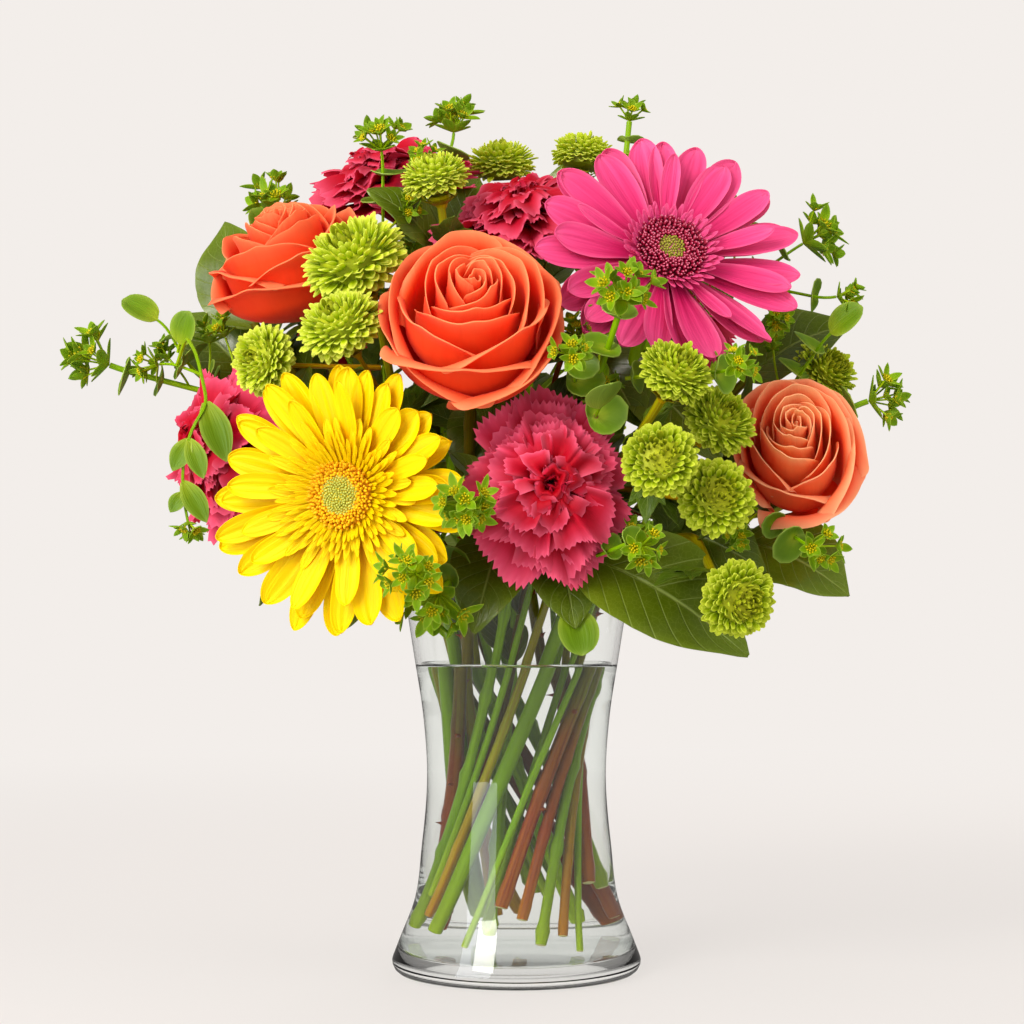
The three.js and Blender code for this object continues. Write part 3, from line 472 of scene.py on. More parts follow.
class Recipe:
    """The nodes of a material or of the world, written step by step."""

    def __init__(self, block: Material | bpy.types.World) -> None:
        """Empties the nodes of a new material or world."""
        self.block = block
        self.block.use_nodes = True
        self.tree = block.node_tree
        self.tree.nodes.clear()

    def node(self, kind: str, inputs: dict | None = None, **settings: object) -> bpy.types.Node:
        """Adds a node.

        Args:
            kind: its type, without the leading ShaderNode.
            inputs: a value or a socket for each input, by name or number.
            settings: its own properties.

        Returns:
            The new node.
        """
        node = self.tree.nodes.new("ShaderNode" + kind)
        for key, value in settings.items():
            setattr(node, key, value)
        for key, value in (inputs or {}).items():
            if isinstance(value, Socket):
                self.tree.links.new(value, node.inputs[key])
            else:
                node.inputs[key].default_value = value
        return node

    def mark(self, name: str) -> Socket:
        """Returns a mark that the mesh carries, as a number."""
        return self.node("Attribute", attribute_name=name).outputs["Fac"]

    def sum(self, operation: str, *values: object) -> Socket:
        """Returns a sum of numbers or sockets."""
        return self.node("Math", dict(enumerate(values)), operation=operation).outputs[0]

    def ramp(self, factor: Socket, stops: list[tuple[float, Colour]]) -> Socket:
        """Returns colours that change along a factor."""
        node = self.node("ValToRGB", {0: factor})
        while len(node.color_ramp.elements) < len(stops):
            node.color_ramp.elements.new(0.5)
        for element, (place, colour) in zip(node.color_ramp.elements, stops):
            element.position = place
            element.color = paint(colour)
        return node.outputs[0]

    def choice(self, factor: Socket, low: object, high: object) -> Socket:
        """Returns a number that is low where the factor is 0, and high where it is 1 or more."""
        return self.node("Mix", {0: factor, 2: low, 3: high}).outputs[0]

    def blend(self, factor: object, low: object, high: object, how: str = "MIX") -> Socket:
        """Returns two colours blended."""
        node = self.node("Mix", {0: factor, 6: low, 7: high}, data_type="RGBA", blend_type=how)
        return node.outputs[2]

    def streaks(self, across: float, along: float) -> Socket:
        """Returns a noise drawn out along the blade, from the marks that the mesh carries."""
        tone = self.sum("MULTIPLY", self.mark("tone"), 40.0)
        places = {0: self.sum("MULTIPLY", self.mark("across"), across),
                  1: self.sum("MULTIPLY", self.mark("along"), along),
                  2: tone}
        spot = self.node("CombineXYZ", places).outputs[0]
        return self.node("TexNoise", {"Vector": spot, "Scale": 1.0, "Detail": 3.0}).outputs[0]

    def between(self, value: Socket, start: float, end: float, low: float = 0.0,
                high: float = 1.0) -> Socket:
        """Returns a number that goes from low to high while a value goes from start to end."""
        return self.node("MapRange", {0: value, 1: start, 2: end, 3: low, 4: high}).outputs[0]

    def relief(self, height: Socket, depth: float) -> Socket:
        """Returns a normal from a height between 0 and 1 and its depth in metres."""
        return self.node("Bump", {"Height": height, "Distance": depth, "Strength": 0.6}).outputs[0]

    def done(self, shader: bpy.types.Node, kind: str = "OutputMaterial") -> Material | bpy.types.World:
        """Ends on a shader, and returns the material or world."""
        self.node(kind, {"Surface": shader.outputs[0]})
        return self.block


@dataclass(frozen=True)
class LivingFinish:
    """The finish of a petal, leaf or stem.

    Its stops are its colours from root to tip, under is that of its lower side, edge that of its
    margin, and deep is what it is multiplied by in streaks and on blades with a high tone. Streak,
    under_share, edge_share and shade are how strong each of these is, and through is the share of
    light that passes.
    """

    name: str
    stops: tuple[tuple[float, Colour], ...]
    under: Colour
    edge: Colour
    streak: float = 0.35
    streak_across: float = 7.0
    roughness: float = 0.5
    sheen: float = 0.0
    coat: float = 0.0
    through: float = 0.25
    under_share: float = 0.4
    edge_share: float = 0.0
    shade: float = 0.3
    deep: Colour = (190, 190, 110)
    gloss: float = 0.25
    veins: bool = False

    def material(self) -> Material:
        """Returns the finish as a material."""
        recipe = Recipe(bpy.data.materials.new(self.name))
        colour = recipe.ramp(recipe.mark("along"), list(self.stops))
        streaks = recipe.streaks(self.streak_across, 1.6)
        dark = recipe.blend(1.0, colour, paint(self.deep), "MULTIPLY")
        shaded = recipe.sum("MULTIPLY", recipe.between(streaks, 0.35, 0.7), self.streak)
        colour = recipe.blend(shaded, colour, dark)
        tone = recipe.sum("MULTIPLY", recipe.mark("tone"), self.shade)
        colour = recipe.blend(tone, colour, dark)
        rim = recipe.sum("POWER", recipe.sum("ABSOLUTE", recipe.mark("across")), 6.0)
        tip = recipe.sum("POWER", recipe.mark("along"), 12.0)
        rim = recipe.sum("MULTIPLY", recipe.sum("MAXIMUM", rim, tip), self.edge_share)
        colour = recipe.blend(rim, colour, paint(self.edge))
        under = recipe.sum("MULTIPLY", recipe.mark("under"), self.under_share)
        colour = recipe.blend(under, colour, paint(self.under))
        height = streaks
        if self.veins:
            colour, height = self.veined(recipe, colour, streaks)
        normal = recipe.relief(height, RELIEF)
        body = recipe.node("BsdfPrincipled", {
            "Base Color": colour, "Roughness": self.roughness, "Sheen Weight": self.sheen,
            "Sheen Roughness": 0.4, "Coat Weight": self.coat, "Coat Roughness": 0.25, "Normal": normal,
            "Specular IOR Level": self.gloss,
        })
        if not self.through:
            return recipe.done(body)
        glow = recipe.node("BsdfTranslucent", {"Color": colour, "Normal": normal})
        both = recipe.node("MixShader", {0: self.through, 1: body.outputs[0], 2: glow.outputs[0]})
        return recipe.done(both)

    def veined(self, recipe: Recipe, colour: Socket,
               streaks: Socket) -> tuple[Socket, Socket]:
        """Draws a leaf's midrib and side veins.

        Args:
            recipe: the material being written.
            colour: the colour so far.
            streaks: the height so far.

        Returns:
            The colour and the height with the veins.
        """
        side = recipe.sum("ABSOLUTE", recipe.mark("across"))
        slant = recipe.sum("SUBTRACT", recipe.sum("MULTIPLY", recipe.mark("along"), VEIN_PAIRS),
                           recipe.sum("MULTIPLY", side, VEIN_SLANT))
        saw = recipe.sum("ABSOLUTE", recipe.sum("SUBTRACT", recipe.sum("FRACT", slant), 0.5))
        midrib = recipe.between(side, 0.05, 0.01)
        vein = recipe.sum("MAXIMUM", recipe.between(saw, 0.06, 0.0, high=0.7), midrib)
        place = {"Vector": recipe.node("TexCoord").outputs["Object"], "Scale": 420.0}
        net = recipe.node("TexVoronoi", place, feature="DISTANCE_TO_EDGE").outputs[0]
        fine = recipe.between(net, 0.06, 0.0, high=0.25)
        pale = recipe.blend(1.0, colour, paint((200, 215, 120)), "SCREEN")
        shown = recipe.sum("MULTIPLY", recipe.sum("MAXIMUM", vein, fine), 0.28)
        height = recipe.sum("SUBTRACT", recipe.sum("MULTIPLY", streaks, 0.4), vein)
        return recipe.blend(shown, colour, pale), height


@dataclass(frozen=True)
class ClearFinish:
    """Glass or water, tinted to a darker edge colour where it is seen edge on: painted shade for the dark
    edges of glass.
    """

    name: str
    ior: float
    tint: Colour
    edge: Colour

    def material(self) -> Material:
        """Returns the finish as a material that lets lamps through."""
        recipe = Recipe(bpy.data.materials.new(self.name))
        # Painted shade: the tint turns to the darker edge colour where the surface is seen edge on.
        facing = recipe.node("LayerWeight", {"Blend": 0.35}).outputs["Facing"]
        colour = recipe.ramp(facing, [(0.0, self.tint), (0.72, self.tint), (1.0, self.edge)])
        body = recipe.node("BsdfPrincipled", {
            "Base Color": colour, "Roughness": 0.0, "IOR": self.ior,
            "Transmission Weight": 1.0, "Specular IOR Level": 0.5,
        })
        clear = recipe.node("BsdfTransparent", {"Color": paint((246, 248, 247))})
        lamp = recipe.sum("MULTIPLY", recipe.node("LightPath").outputs["Is Shadow Ray"], LAMP_SHARE)
        return recipe.done(recipe.node("MixShader", {0: lamp, 1: body.outputs[0], 2: clear.outputs[0]}))


SKIN = {"roughness": 0.3, "through": 0.0, "shade": 0.6, "gloss": 0.14}
FINISHES: dict[str, LivingFinish | ClearFinish] = {finish.name: finish for finish in (
    LivingFinish("yellow_ray_petal", ((0.0, (244, 156, 0)), (0.25, (252, 196, 0)), (0.6, (248, 222, 0))),
                 (250, 192, 0), (255, 240, 10), roughness=0.45, through=0.3, edge_share=0.5, shade=0.2,
                 deep=(246, 196, 80), gloss=0.12),
    LivingFinish("pink_ray_petal", ((0.0, (150, 0, 60)), (0.3, (226, 40, 112)), (0.8, (244, 80, 142))),
                 (218, 52, 112), (252, 120, 170), streak=0.5, roughness=0.45, through=0.28,
                 edge_share=0.5, deep=(204, 110, 170), gloss=0.18),
    LivingFinish("green_disc_bud", ((0.0, (166, 160, 30)), (0.7, (206, 204, 74)), (1.0, (224, 224, 112))),
                 (166, 160, 30), (220, 220, 110), through=0.1, roughness=0.6, shade=0.15),
    LivingFinish("olive_disc_bud", ((0.0, (120, 110, 20)), (0.7, (156, 148, 44)), (1.0, (184, 178, 76))),
                 (120, 110, 20), (186, 180, 80), through=0.1, roughness=0.6),
    LivingFinish("golden_disc_floret", ((0.0, (206, 130, 0)), (0.6, (246, 180, 0)),
                 (1.0, (255, 226, 30))), (210, 140, 0), (255, 230, 60), through=0.15,
                 deep=(240, 180, 110)),
    LivingFinish("wine_disc_floret", ((0.0, (70, 0, 16)), (0.6, (120, 0, 34)), (0.86, (170, 14, 60)),
                 (1.0, (240, 140, 166))), (90, 0, 24), (236, 140, 166), through=0.1, roughness=0.45,
                 deep=(200, 110, 130)),
    LivingFinish("coral_rose_petal", ((0.0, (255, 150, 10)), (0.35, (255, 98, 16)), (0.8, (255, 112, 50)),
                 (1.0, (255, 160, 104))), (246, 70, 34), (255, 184, 124), streak=0.2, sheen=0.08,
                 through=0.48, edge_share=0.65, shade=0.75, under_share=0.35, deep=(242, 140, 110),
                 gloss=0.15),
    # The right rose's petals: partly a peachier tone of their own, partly painted light, much lighter than
    # coral_rose_petal where that rose stands in shade.
    LivingFinish("peach_rose_petal_with_painted_light", ((0.0, (255, 196, 60)), (0.35, (255, 166, 80)),
                 (0.8, (255, 174, 104)), (1.0, (255, 208, 148))), (252, 112, 62), (255, 222, 170),
                 streak=0.15, sheen=0.08, through=0.52, edge_share=0.65, shade=0.85, under_share=0.3,
                 deep=(250, 120, 96), gloss=0.15),
    LivingFinish("cerise_carnation_petal", ((0.0, (150, 0, 6)), (0.5, (206, 0, 28)), (0.86, (216, 8, 54)),
                 (1.0, (240, 66, 112))), (220, 24, 72), (250, 128, 160), roughness=0.55, through=0.36,
                 edge_share=0.5, shade=0.6, deep=(204, 60, 60), gloss=0.1),
    LivingFinish("lime_button_floret", ((0.0, (96, 132, 0)), (0.5, (184, 208, 6)), (1.0, (234, 242, 72))),
                 (166, 186, 8), (242, 250, 110), streak=0.25, roughness=0.45, through=0.38,
                 edge_share=0.35, deep=(206, 210, 110), gloss=0.15),
    # A lighter copy of lime_button_floret for the buttons at the left and top: painted light where the key
    # lamp falls on them.
    LivingFinish("lime_floret_with_painted_light", ((0.0, (132, 164, 0)), (0.5, (216, 232, 14)),
                 (1.0, (250, 252, 104))), (186, 210, 20), (246, 254, 140), streak=0.2, roughness=0.45,
                 through=0.42, edge_share=0.35, shade=0.2, deep=(220, 220, 110), gloss=0.15),
    LivingFinish("olive_button_eye", ((0.0, (110, 118, 0)), (0.6, (150, 164, 6)), (1.0, (196, 200, 30))),
                 (120, 130, 6), (200, 204, 40), through=0.1, roughness=0.55),
    LivingFinish("bupleurum_leaf", ((0.0, (206, 216, 10)), (0.45, (156, 194, 8)), (1.0, (118, 168, 14))),
                 (142, 178, 50), (214, 230, 80), streak=0.3, roughness=0.42, through=0.45, edge_share=0.6,
                 shade=0.45, deep=(190, 196, 90), gloss=0.2),
    LivingFinish("round_pierced_leaf", ((0.0, (176, 194, 40)), (0.4, (126, 160, 20)),
                 (1.0, (106, 146, 24))), (152, 178, 84), (190, 210, 90), roughness=0.4, through=0.3,
                 edge_share=0.5, shade=0.5, deep=(180, 190, 90)),
    LivingFinish("bupleurum_floret", ((0.0, (190, 186, 0)), (1.0, (240, 216, 6))), (200, 180, 0),
                 (240, 222, 20), through=0.1, shade=0.5),
    LivingFinish("broad_glossy_leaf", ((0.0, (120, 136, 16)), (0.5, (88, 106, 6)), (1.0, (98, 120, 12))),
                 (122, 140, 40), (126, 146, 40), streak=0.3, roughness=0.3, coat=0.3, through=0.2,
                 edge_share=0.4, shade=0.5, under_share=0.8, gloss=0.4, veins=True),
    LivingFinish("rose_leaf", ((0.0, (116, 138, 16)), (0.5, (82, 108, 6)), (1.0, (90, 120, 10))),
                 (112, 134, 40), (122, 140, 34), streak=0.3, roughness=0.4, coat=0.12, through=0.24,
                 edge_share=0.3, shade=0.5, under_share=0.8, gloss=0.35, veins=True),
    LivingFinish("green_stalk", ((0.0, (178, 208, 18)), (0.5, (138, 186, 6)), (1.0, (150, 196, 14))),
                 (96, 140, 20), (96, 140, 20), streak=0.8, streak_across=5.0, deep=(176, 176, 60),
                 **SKIN),
    LivingFinish("olive_stalk", ((0.0, (196, 156, 10)), (0.5, (174, 168, 4)), (1.0, (158, 174, 10))),
                 (96, 110, 10), (96, 110, 10), streak=0.9, streak_across=6.0, deep=(206, 140, 50),
                 **SKIN),
    LivingFinish("brown_twig", ((0.0, (176, 112, 20)), (0.4, (156, 72, 14)), (0.8, (160, 106, 12)),
                 (1.0, (126, 136, 14))), (110, 56, 12), (110, 56, 12), streak=0.9, streak_across=6.0,
                 deep=(180, 96, 70), **SKIN),
    LivingFinish("cut_end", ((0.0, (232, 226, 160)), (1.0, (232, 226, 160))), (220, 210, 150),
                 (200, 190, 130), through=0.0, roughness=0.6),
    # The edge colours of the glass and the water are painted shade, worn where they are seen edge on.
    ClearFinish("clear_vase_glass", 1.45, (252, 254, 253), (150, 160, 158)),
    ClearFinish("still_water", 1.33, (253, 255, 254), (214, 222, 220)),
)}


@cache
def look(name: str) -> Material:
    """Returns the material of a finish, made when it is first worn."""
    return FINISHES[name].material()


# ---- What stands where -----------------------------------


class Kind(Enum):
    """A kind of head, with its depth for each millimetre of its reach and the share below its middle."""

    GERBERA = ("gerbera", 0.24, 0.5)
    ROSE = ("rose", 1.62, 0.5)
    CARNATION = ("carnation", 1.2, 0.62)
    BUTTON = ("pom", 1.25, 0.5)
    UMBEL = ("umbel", 1.1, 0.5)
    ROUND_LEAF = ("round_leaf", 1.1, 0.5)


@dataclass(frozen=True)
class Head:
    """A bloom, button or umbel: the middle of its head, the way it faces, and its reach across.

    A bloom that isn't round has a width and a length as shares of its reach, and leans as it rises.
    """

    kind: Kind
    at: Place
    facing: Place
    reach: float
    width: float = 1.0
    length: float = 1.0
    lean: float = 0.0

    def turn(self, roll: float) -> Array:
        """Returns the matrix that sets a bloom made round +Z on its stem, after a roll about +Z."""
        shape = np.array([[self.width, 0, self.lean], [0, self.length, 0], [0, 0, 1]])
        return turned_to(self.way) @ shape @ spun(roll)

    @property
    def way(self) -> Array:
        """The way it faces, at length one."""
        return unit(np.array(self.facing, dtype=float))

    @property
    def depth(self) -> float:
        """How deep the head is from its base to its face."""
        return self.reach * self.kind.value[1]

    @property
    def base(self) -> Array:
        """Where the head stands on its stem."""
        return np.array(self.at, dtype=float) - self.way * self.depth * self.kind.value[2]

    def shut_out(self, places: Array, room: float = 1.0) -> Array:
        """Returns how far outside the head each place is: under 1 is inside it."""
        away = places - (self.base + self.way * self.depth / 2)
        rise = away @ self.way
        flat = np.linalg.norm(away - rise[..., None] * self.way, axis=-1)
        return np.hypot(flat / (self.reach + room), rise / (self.depth / 2 + room))


# The middle of each head, the way it faces, its reach, and its width, length and lean if uneven.
BLOOMS: dict[str, Head] = {
    "gerbera_yellow": Head(Kind.GERBERA, (-70, -103, 207), (-0.35, -0.93, -0.08), 56),
    "gerbera_pink": Head(Kind.GERBERA, (64, -72, 311), (0.22, -0.88, 0.4), 59),
    "rose_centre": Head(Kind.ROSE, (-18, -99, 278), (0.03, -0.8, 0.6), 35, 1.0, 1.08),
    "rose_left": Head(Kind.ROSE, (-99, -30, 313), (-0.3, -0.45, 0.85), 32),
    "rose_right": Head(Kind.ROSE, (122, -50, 229), (0, -0.85, 0.52), 31, 0.78, 1.04, -0.1),
    "rose_back": Head(Kind.ROSE, (-14, 88, 302), (-0.1, 0.78, 0.62), 33),
    "carnation_front": Head(Kind.CARNATION, (13, -100, 211), (0.08, -0.99, 0.05), 33),
    "carnation_left": Head(Kind.CARNATION, (-130, -30, 233), (-0.8, -0.58, 0.1), 32, 1.12, 1.08),
    "carnation_top": Head(Kind.CARNATION, (3, -28, 334), (-0.1, -0.45, 0.88), 30, 1.16, 1.16),
    "carnation_top_left": Head(Kind.CARNATION, (-56, 10, 358), (-0.3, -0.25, 0.92), 31, 1.2, 1.1, -0.2),
    "carnation_back_left": Head(Kind.CARNATION, (-92, 66, 268), (-0.6, 0.75, 0.3), 31),
    "carnation_back_right": Head(Kind.CARNATION, (77, 66, 308), (0.45, 0.6, 0.66), 31),
}


def buttons(*heads: tuple[Place, Place, float]) -> list[Head]:
    """Returns button chrysanthemums from their middles, facings and reaches."""
    return [Head(Kind.BUTTON, *head) for head in heads]


BUTTONS: dict[str, list[Head]] = {
    "left": buttons(((-68, -76, 307), (-0.4, -0.55, 0.73), 23), ((-72, -96, 277), (-0.4, -0.6, 0.7), 18),
                    ((-106, -75, 265), (-0.65, -0.75, 0.1), 15.5)),
    "top": buttons(((-35, -52, 347), (-0.2, -0.35, 0.9), 15), ((-7, 16, 367), (-0.05, -0.2, 0.97), 16),
                   ((31, 26, 373), (0.15, 0.05, 0.98), 14.5)),
    "front": buttons(((63, -120, 255), (0.35, -0.6, 0.7), 15.5), ((83, -92, 238), (0.45, -0.7, 0.55), 16),
                     ((56, -126, 220), (-0.05, -0.97, 0.2), 15.5), ((80, -106, 206), (0.1, -0.97, 0.15), 16)),
    "right": buttons(((88, -112, 165), (0.35, -0.9, -0.2), 16), ((138, -12, 267), (0.6, -0.6, 0.5), 15.5)),
    "back": buttons(((38, 108, 254), (0.25, 0.94, 0.2), 17), ((-36, 112, 240), (-0.25, 0.95, 0.1), 17),
                    ((108, 58, 244), (0.75, 0.62, 0.15), 16)),
}


def spray(*heads: tuple) -> list[Head]:
    """Returns the heads of a bupleurum spray; one that ends in the word leaf is a round leaf."""
    return [Head(Kind.ROUND_LEAF if head[-1] == "leaf" else Kind.UMBEL, *head[:3]) for head in heads]


SPRAYS: dict[str, list[Head]] = {
    "left": spray(((-189, -18, 273), (-0.9, -0.1, 0.4), 17), ((-163, -22, 268), (-0.8, -0.3, -0.2), 10),
                  ((-165, -10, 293), (-0.8, -0.1, 0.5), 9, "leaf"),
                  ((-149, -14, 283), (0.3, -0.4, 0.8), 8, "leaf")),
    "top_left": spray(((-111, 6, 349), (-0.3, 0, 0.95), 16), ((-60, -34, 368), (-0.1, -0.5, 0.86), 13),
                      ((-28, -16, 381), (0, 0, 1), 14), ((-112, -6, 330), (-0.5, -0.3, 0.8), 9, "leaf")),
    "top_right": spray(((52, 4, 388), (0.1, 0, 1), 9), ((136, -12, 329), (0.85, 0, 0.5), 17),
                       ((145, -30, 299), (0.95, -0.2, 0.2), 9)),
    "right": spray(((162, -26, 254), (0.95, -0.2, 0.2), 14), ((124, -87, 185), (0.5, -0.8, -0.3), 12),
                   ((140, -38, 284), (0.66, -0.36, 0.6), 9, "leaf")),
    "centre": spray(((43, -124, 287), (0.1, -0.9, 0.4), 14), ((23, -122, 262), (0, -1, 0), 10),
                    ((88, -124, 258), (0.3, -0.9, 0.2), 10), ((34, -112, 244), (0.2, -0.8, 0.5), 9, "leaf")),
    "front": spray(((-34, -94, 161), (-0.2, -0.7, -0.6), 19), ((-20, -130, 200), (-0.1, -0.95, -0.1), 14),
                   ((-42, -124, 176), (-0.3, -0.9, 0.1), 13),
                   ((50, -124, 183), (0.2, -0.85, -0.5), 12),
                   ((24, -84, 156), (0.2, -0.3, -0.9), 10, "leaf")),
    "back": spray(((5, 132, 268), (0, 1, 0.2), 15), ((-118, 82, 226), (-0.7, 0.7, -0.2), 14),
                  ((60, 98, 350), (0.3, 0.4, 0.85), 14)),
}


@dataclass(frozen=True)
class Leaf:
    """A broad leaf from its root to its tip, the way its upper face looks, and its width."""

    root: Place
    tip: Place
    faces: Place
    width: float

    @property
    def base(self) -> Array:
        """Where the blade springs from its stalk."""
        return np.array(self.root, dtype=float)

    @property
    def way(self) -> Array:
        """The way it points, at length one."""
        return unit(np.subtract(self.tip, self.root))


# These leaves are in the frame; the fillers are extra ones on the same stems.
LEAVES: dict[str, list[Leaf]] = {
    "left": [Leaf((-120, 12, 292), (-136, 26, 342), (-0.5, -0.8, 0.2), 40),
             Leaf((-118, 22, 262), (-158, 36, 300), (-0.4, -0.6, 0.7), 38),
             Leaf((-70, 34, 196), (-122, 44, 162), (-0.5, 0.1, 0.85), 44),
             Leaf((-38, -24, 322), (-66, -40, 344), (0.1, -0.75, 0.65), 28)],
    "front": [Leaf((26, -72, 184), (96, -84, 141), (-0.1, -0.8, 0.6), 50),
              Leaf((98, -42, 190), (142, -56, 166), (0.3, -0.8, 0.5), 44),
              Leaf((-44, -62, 190), (-72, -78, 152), (-0.4, -0.6, 0.7), 40),
              Leaf((12, -42, 240), (38, -72, 258), (0.1, -0.8, 0.6), 26)],
    "right": [Leaf((106, 2, 266), (153, -2, 290), (0.2, -0.6, 0.78), 44),
              Leaf((84, 8, 326), (84, 16, 366), (0.3, -0.7, 0.5), 38),
              Leaf((92, 20, 196), (140, 34, 168), (0.5, 0.1, 0.85), 46)],
    "back": [Leaf((-10, 62, 196), (-22, 108, 158), (-0.1, 0.6, 0.8), 48),
             Leaf((56, 60, 190), (86, 96, 156), (0.4, 0.5, 0.78), 44),
             Leaf((14, 62, 330), (24, 76, 380), (0.1, 0.9, 0.3), 40),
             Leaf((-34, 58, 207), (-70, 92, 222), (-0.2, 0.8, 0.55), 38),
             Leaf((30, 62, 208), (62, 100, 216), (0.2, 0.75, 0.6), 38)],
}

FILLERS: dict[str, list[Leaf]] = {
    "leaves_left": [Leaf((-34, -14, 320), (-16, -6, 356), (0.1, -0.9, 0.4), 30)],
    "leaves_front": [Leaf((64, -48, 196), (106, -64, 176), (0.1, -0.9, 0.4), 34),
                     Leaf((32, -36, 276), (54, -50, 238), (0, -0.9, 0.3), 34),
                     Leaf((52, -34, 262), (88, -56, 222), (0, -0.9, 0.4), 34),
                     Leaf((-8, -40, 250), (-24, -54, 214), (-0.1, -0.9, 0.3), 30),
                     Leaf((-6, -57, 193), (-18, -84, 150), (0, -0.85, 0.5), 34),
                     Leaf((15, -60, 192), (24, -88, 152), (0.1, -0.85, 0.5), 36),
                     Leaf((36, -52, 191), (58, -76, 158), (0.3, -0.8, 0.5), 32)],
}

# A twig that hangs from the spray, by the places it passes.
HANGING: dict[str, list[Place]] = {
    "bupleurum_left": [(-145, -28, 281), (-137, -50, 270), (-130, -64, 247), (-136, -68, 238),
                       (-140, -68, 223), (-140, -67, 209), (-138, -66, 198)],
}
# The share of the twig where each leaf springs, the way it points, its length and its width.
HANGING_LEAVES: tuple[tuple[float, Place, float, float], ...] = (
    (0.56, (0.38, -0.1, -1.0), 27, 13), (0.71, (0.4, -0.15, -1.0), 18, 9),
    (0.71, (-0.5, -0.1, -1.0), 15, 9), (0.865, (0.62, -0.1, -1.0), 20, 10), (0.9, (-0.5, -0.2, -0.8), 10, 7),
)

ALL_HEADS: list[Head] = [*BLOOMS.values(), *sum(BUTTONS.values(), []), *sum(SPRAYS.values(), [])]


# ---- Stems, traced through the frame ---------------------


@dataclass
class Tracer:
    """Finds the middle line of a rod inside a node's solid."""

    node: str
    step: float = 3.0

    def __post_init__(self) -> None:
        """Reads the node's corners and triangles."""
        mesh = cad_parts[self.node].data
        mesh.calc_loop_triangles()
        corners = np.empty(len(mesh.vertices) * 3)
        mesh.vertices.foreach_get("co", corners)
        turn = np.array(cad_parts[self.node].matrix_world)
        self.corners = (corners.reshape(-1, 3) @ turn[:3, :3].T + turn[:3, 3]) / MM
        faces = np.empty(len(mesh.loop_triangles) * 3, dtype=np.int32)
        mesh.loop_triangles.foreach_get("vertices", faces)
        self.faces = faces.reshape(-1, 3)

    def centre(self, place: Array, way: Array, reach: float) -> Array | None:
        """The middle of the rod's section near a place.

        Args:
            place: where to cut.
            way: the direction square to the cut.
            reach: how far from the place the section may lie.

        Returns:
            The middle, or None where there is no rod.
        """
        rise = (self.corners - place) @ way
        levels = rise[self.faces]
        met = self.faces[(levels.min(axis=1) < 0) & (levels.max(axis=1) >= 0)]
        if not len(met):
            return None
        starts, ends = self.corners[met], self.corners[np.roll(met, -1, axis=1)]
        low, high = rise[met], rise[np.roll(met, -1, axis=1)]
        crossed = (low < 0) != (high < 0)
        share = np.where(crossed, low / np.where(crossed, low - high, 1), 0)
        cuts = (starts + (ends - starts) * share[..., None])[crossed].reshape(-1, 2, 3)
        near = (np.linalg.norm(cuts - place, axis=2) < reach).all(axis=1)
        if not near.any():
            return None
        cuts = cuts[near]
        weight = np.linalg.norm(cuts[:, 1] - cuts[:, 0], axis=1) + 1e-6
        return (cuts.mean(axis=1) * weight[:, None]).sum(axis=0) / weight.sum()

    def follow(self, start: Array, way: Array, radius: float, parent: Array | None = None) -> Array:
        """Follows a rod from a place on it to its end, or to the main stem if it meets that first.

        Args:
            start: a place on the rod.
            way: the direction to set out in.
            radius: the rod's radius.
            parent: the path of the main stem, for a branch.

        Returns:
            The path, one step from point to point.
        """
        here = self.centre(start, way, 3 * radius + 2)
        here = start if here is None else here
        path = [here]
        for _ in range(400):
            ahead = self.centre(here + way * self.step, way, 1.8 * radius + 0.4)
            if ahead is None:
                break
            way = unit(0.5 * way + 0.5 * unit(ahead - here))
            here = ahead
            path.append(here)
            if parent is None:
                continue
            away = np.linalg.norm(parent - here, axis=1)
            if away.min() < radius + 1.2:
                path.append(parent[away.argmin()])
                break
        return np.array(path)


NODE_REACH = 3.2
LOWEST_FOOT = 60.0


@dataclass(frozen=True)
class StemForm:
    """A kind of stem, with the slots of its skin and its cut end.

    Tracing starts a neck below the head. The nodes stand a distance apart and are thicker by a
    share. Branches have a traced radius, a neck, the two radii they are made with, and their sides.
    """

    radius: float
    neck: float
    skin: int = 0
    cut: int = 1
    nodes_every: float = 1e4
    swell: float = 0.0
    branch: float = 0.0
    branch_neck: float = 0.0
    branch_radii: tuple[float, float] = (0.0, 0.0)
    branch_sides: int = 8

    def radii(self, path: Array) -> Array:
        """Returns the radius at each point of a path, with its swollen nodes."""
        along = lengths_along(path)
        place = np.abs((along / self.nodes_every + 0.35) % 1 - 0.5) * self.nodes_every
        node = self.swell * np.exp(-((place / NODE_REACH) ** 2))
        return self.radius * (1 + node) * mix(1.05, 0.95, along / along[-1])


STEMS: dict[str, StemForm] = {
    "gerbera": StemForm(3.1, 13),
    "rose": StemForm(2.7, 10, nodes_every=46, swell=0.16),
    "carnation": StemForm(2.1, 21, nodes_every=38, swell=0.42),
    "pom": StemForm(1.9, 7, 0, 1, 30, 0.12, 1.1, 6.5, (1.25, 1.0), 8),
    "bupleurum": StemForm(1.4, 1, 2, 3, 1e4, 0.0, 0.8, 1, (0.95, 0.7), 6),
    "leaf": StemForm(2.2, 2, 1, 2, 34, 0.14, 1.2, 2, (1.4, 1.1), 8),
}


def along_stem(path: Array, low: float, bare: float, every: float) -> list[tuple[Array, Array]]:
    """Places on a stem, from its bare top down to a height.

    Args:
        path: the stem's middle line, from its foot.
        low: the lowest height.
        bare: the length that stays free below the head.
        every: the distance from place to place.

    Returns:
        Pairs of a place and the way the stem runs there.
    """
    length = lengths_along(path)
    ways = unit(np.gradient(path, axis=0))
    first = length[np.argmax(path[:, 2] > low)]
    numbers = np.searchsorted(length, np.arange(length[-1] - bare, first, -every))
    return [(path[number], ways[number]) for number in numbers]


# ---- Growth ----------------------------------------------

BOUQUET_REACH = 120.0
LEAVES_ABOVE = 196.0


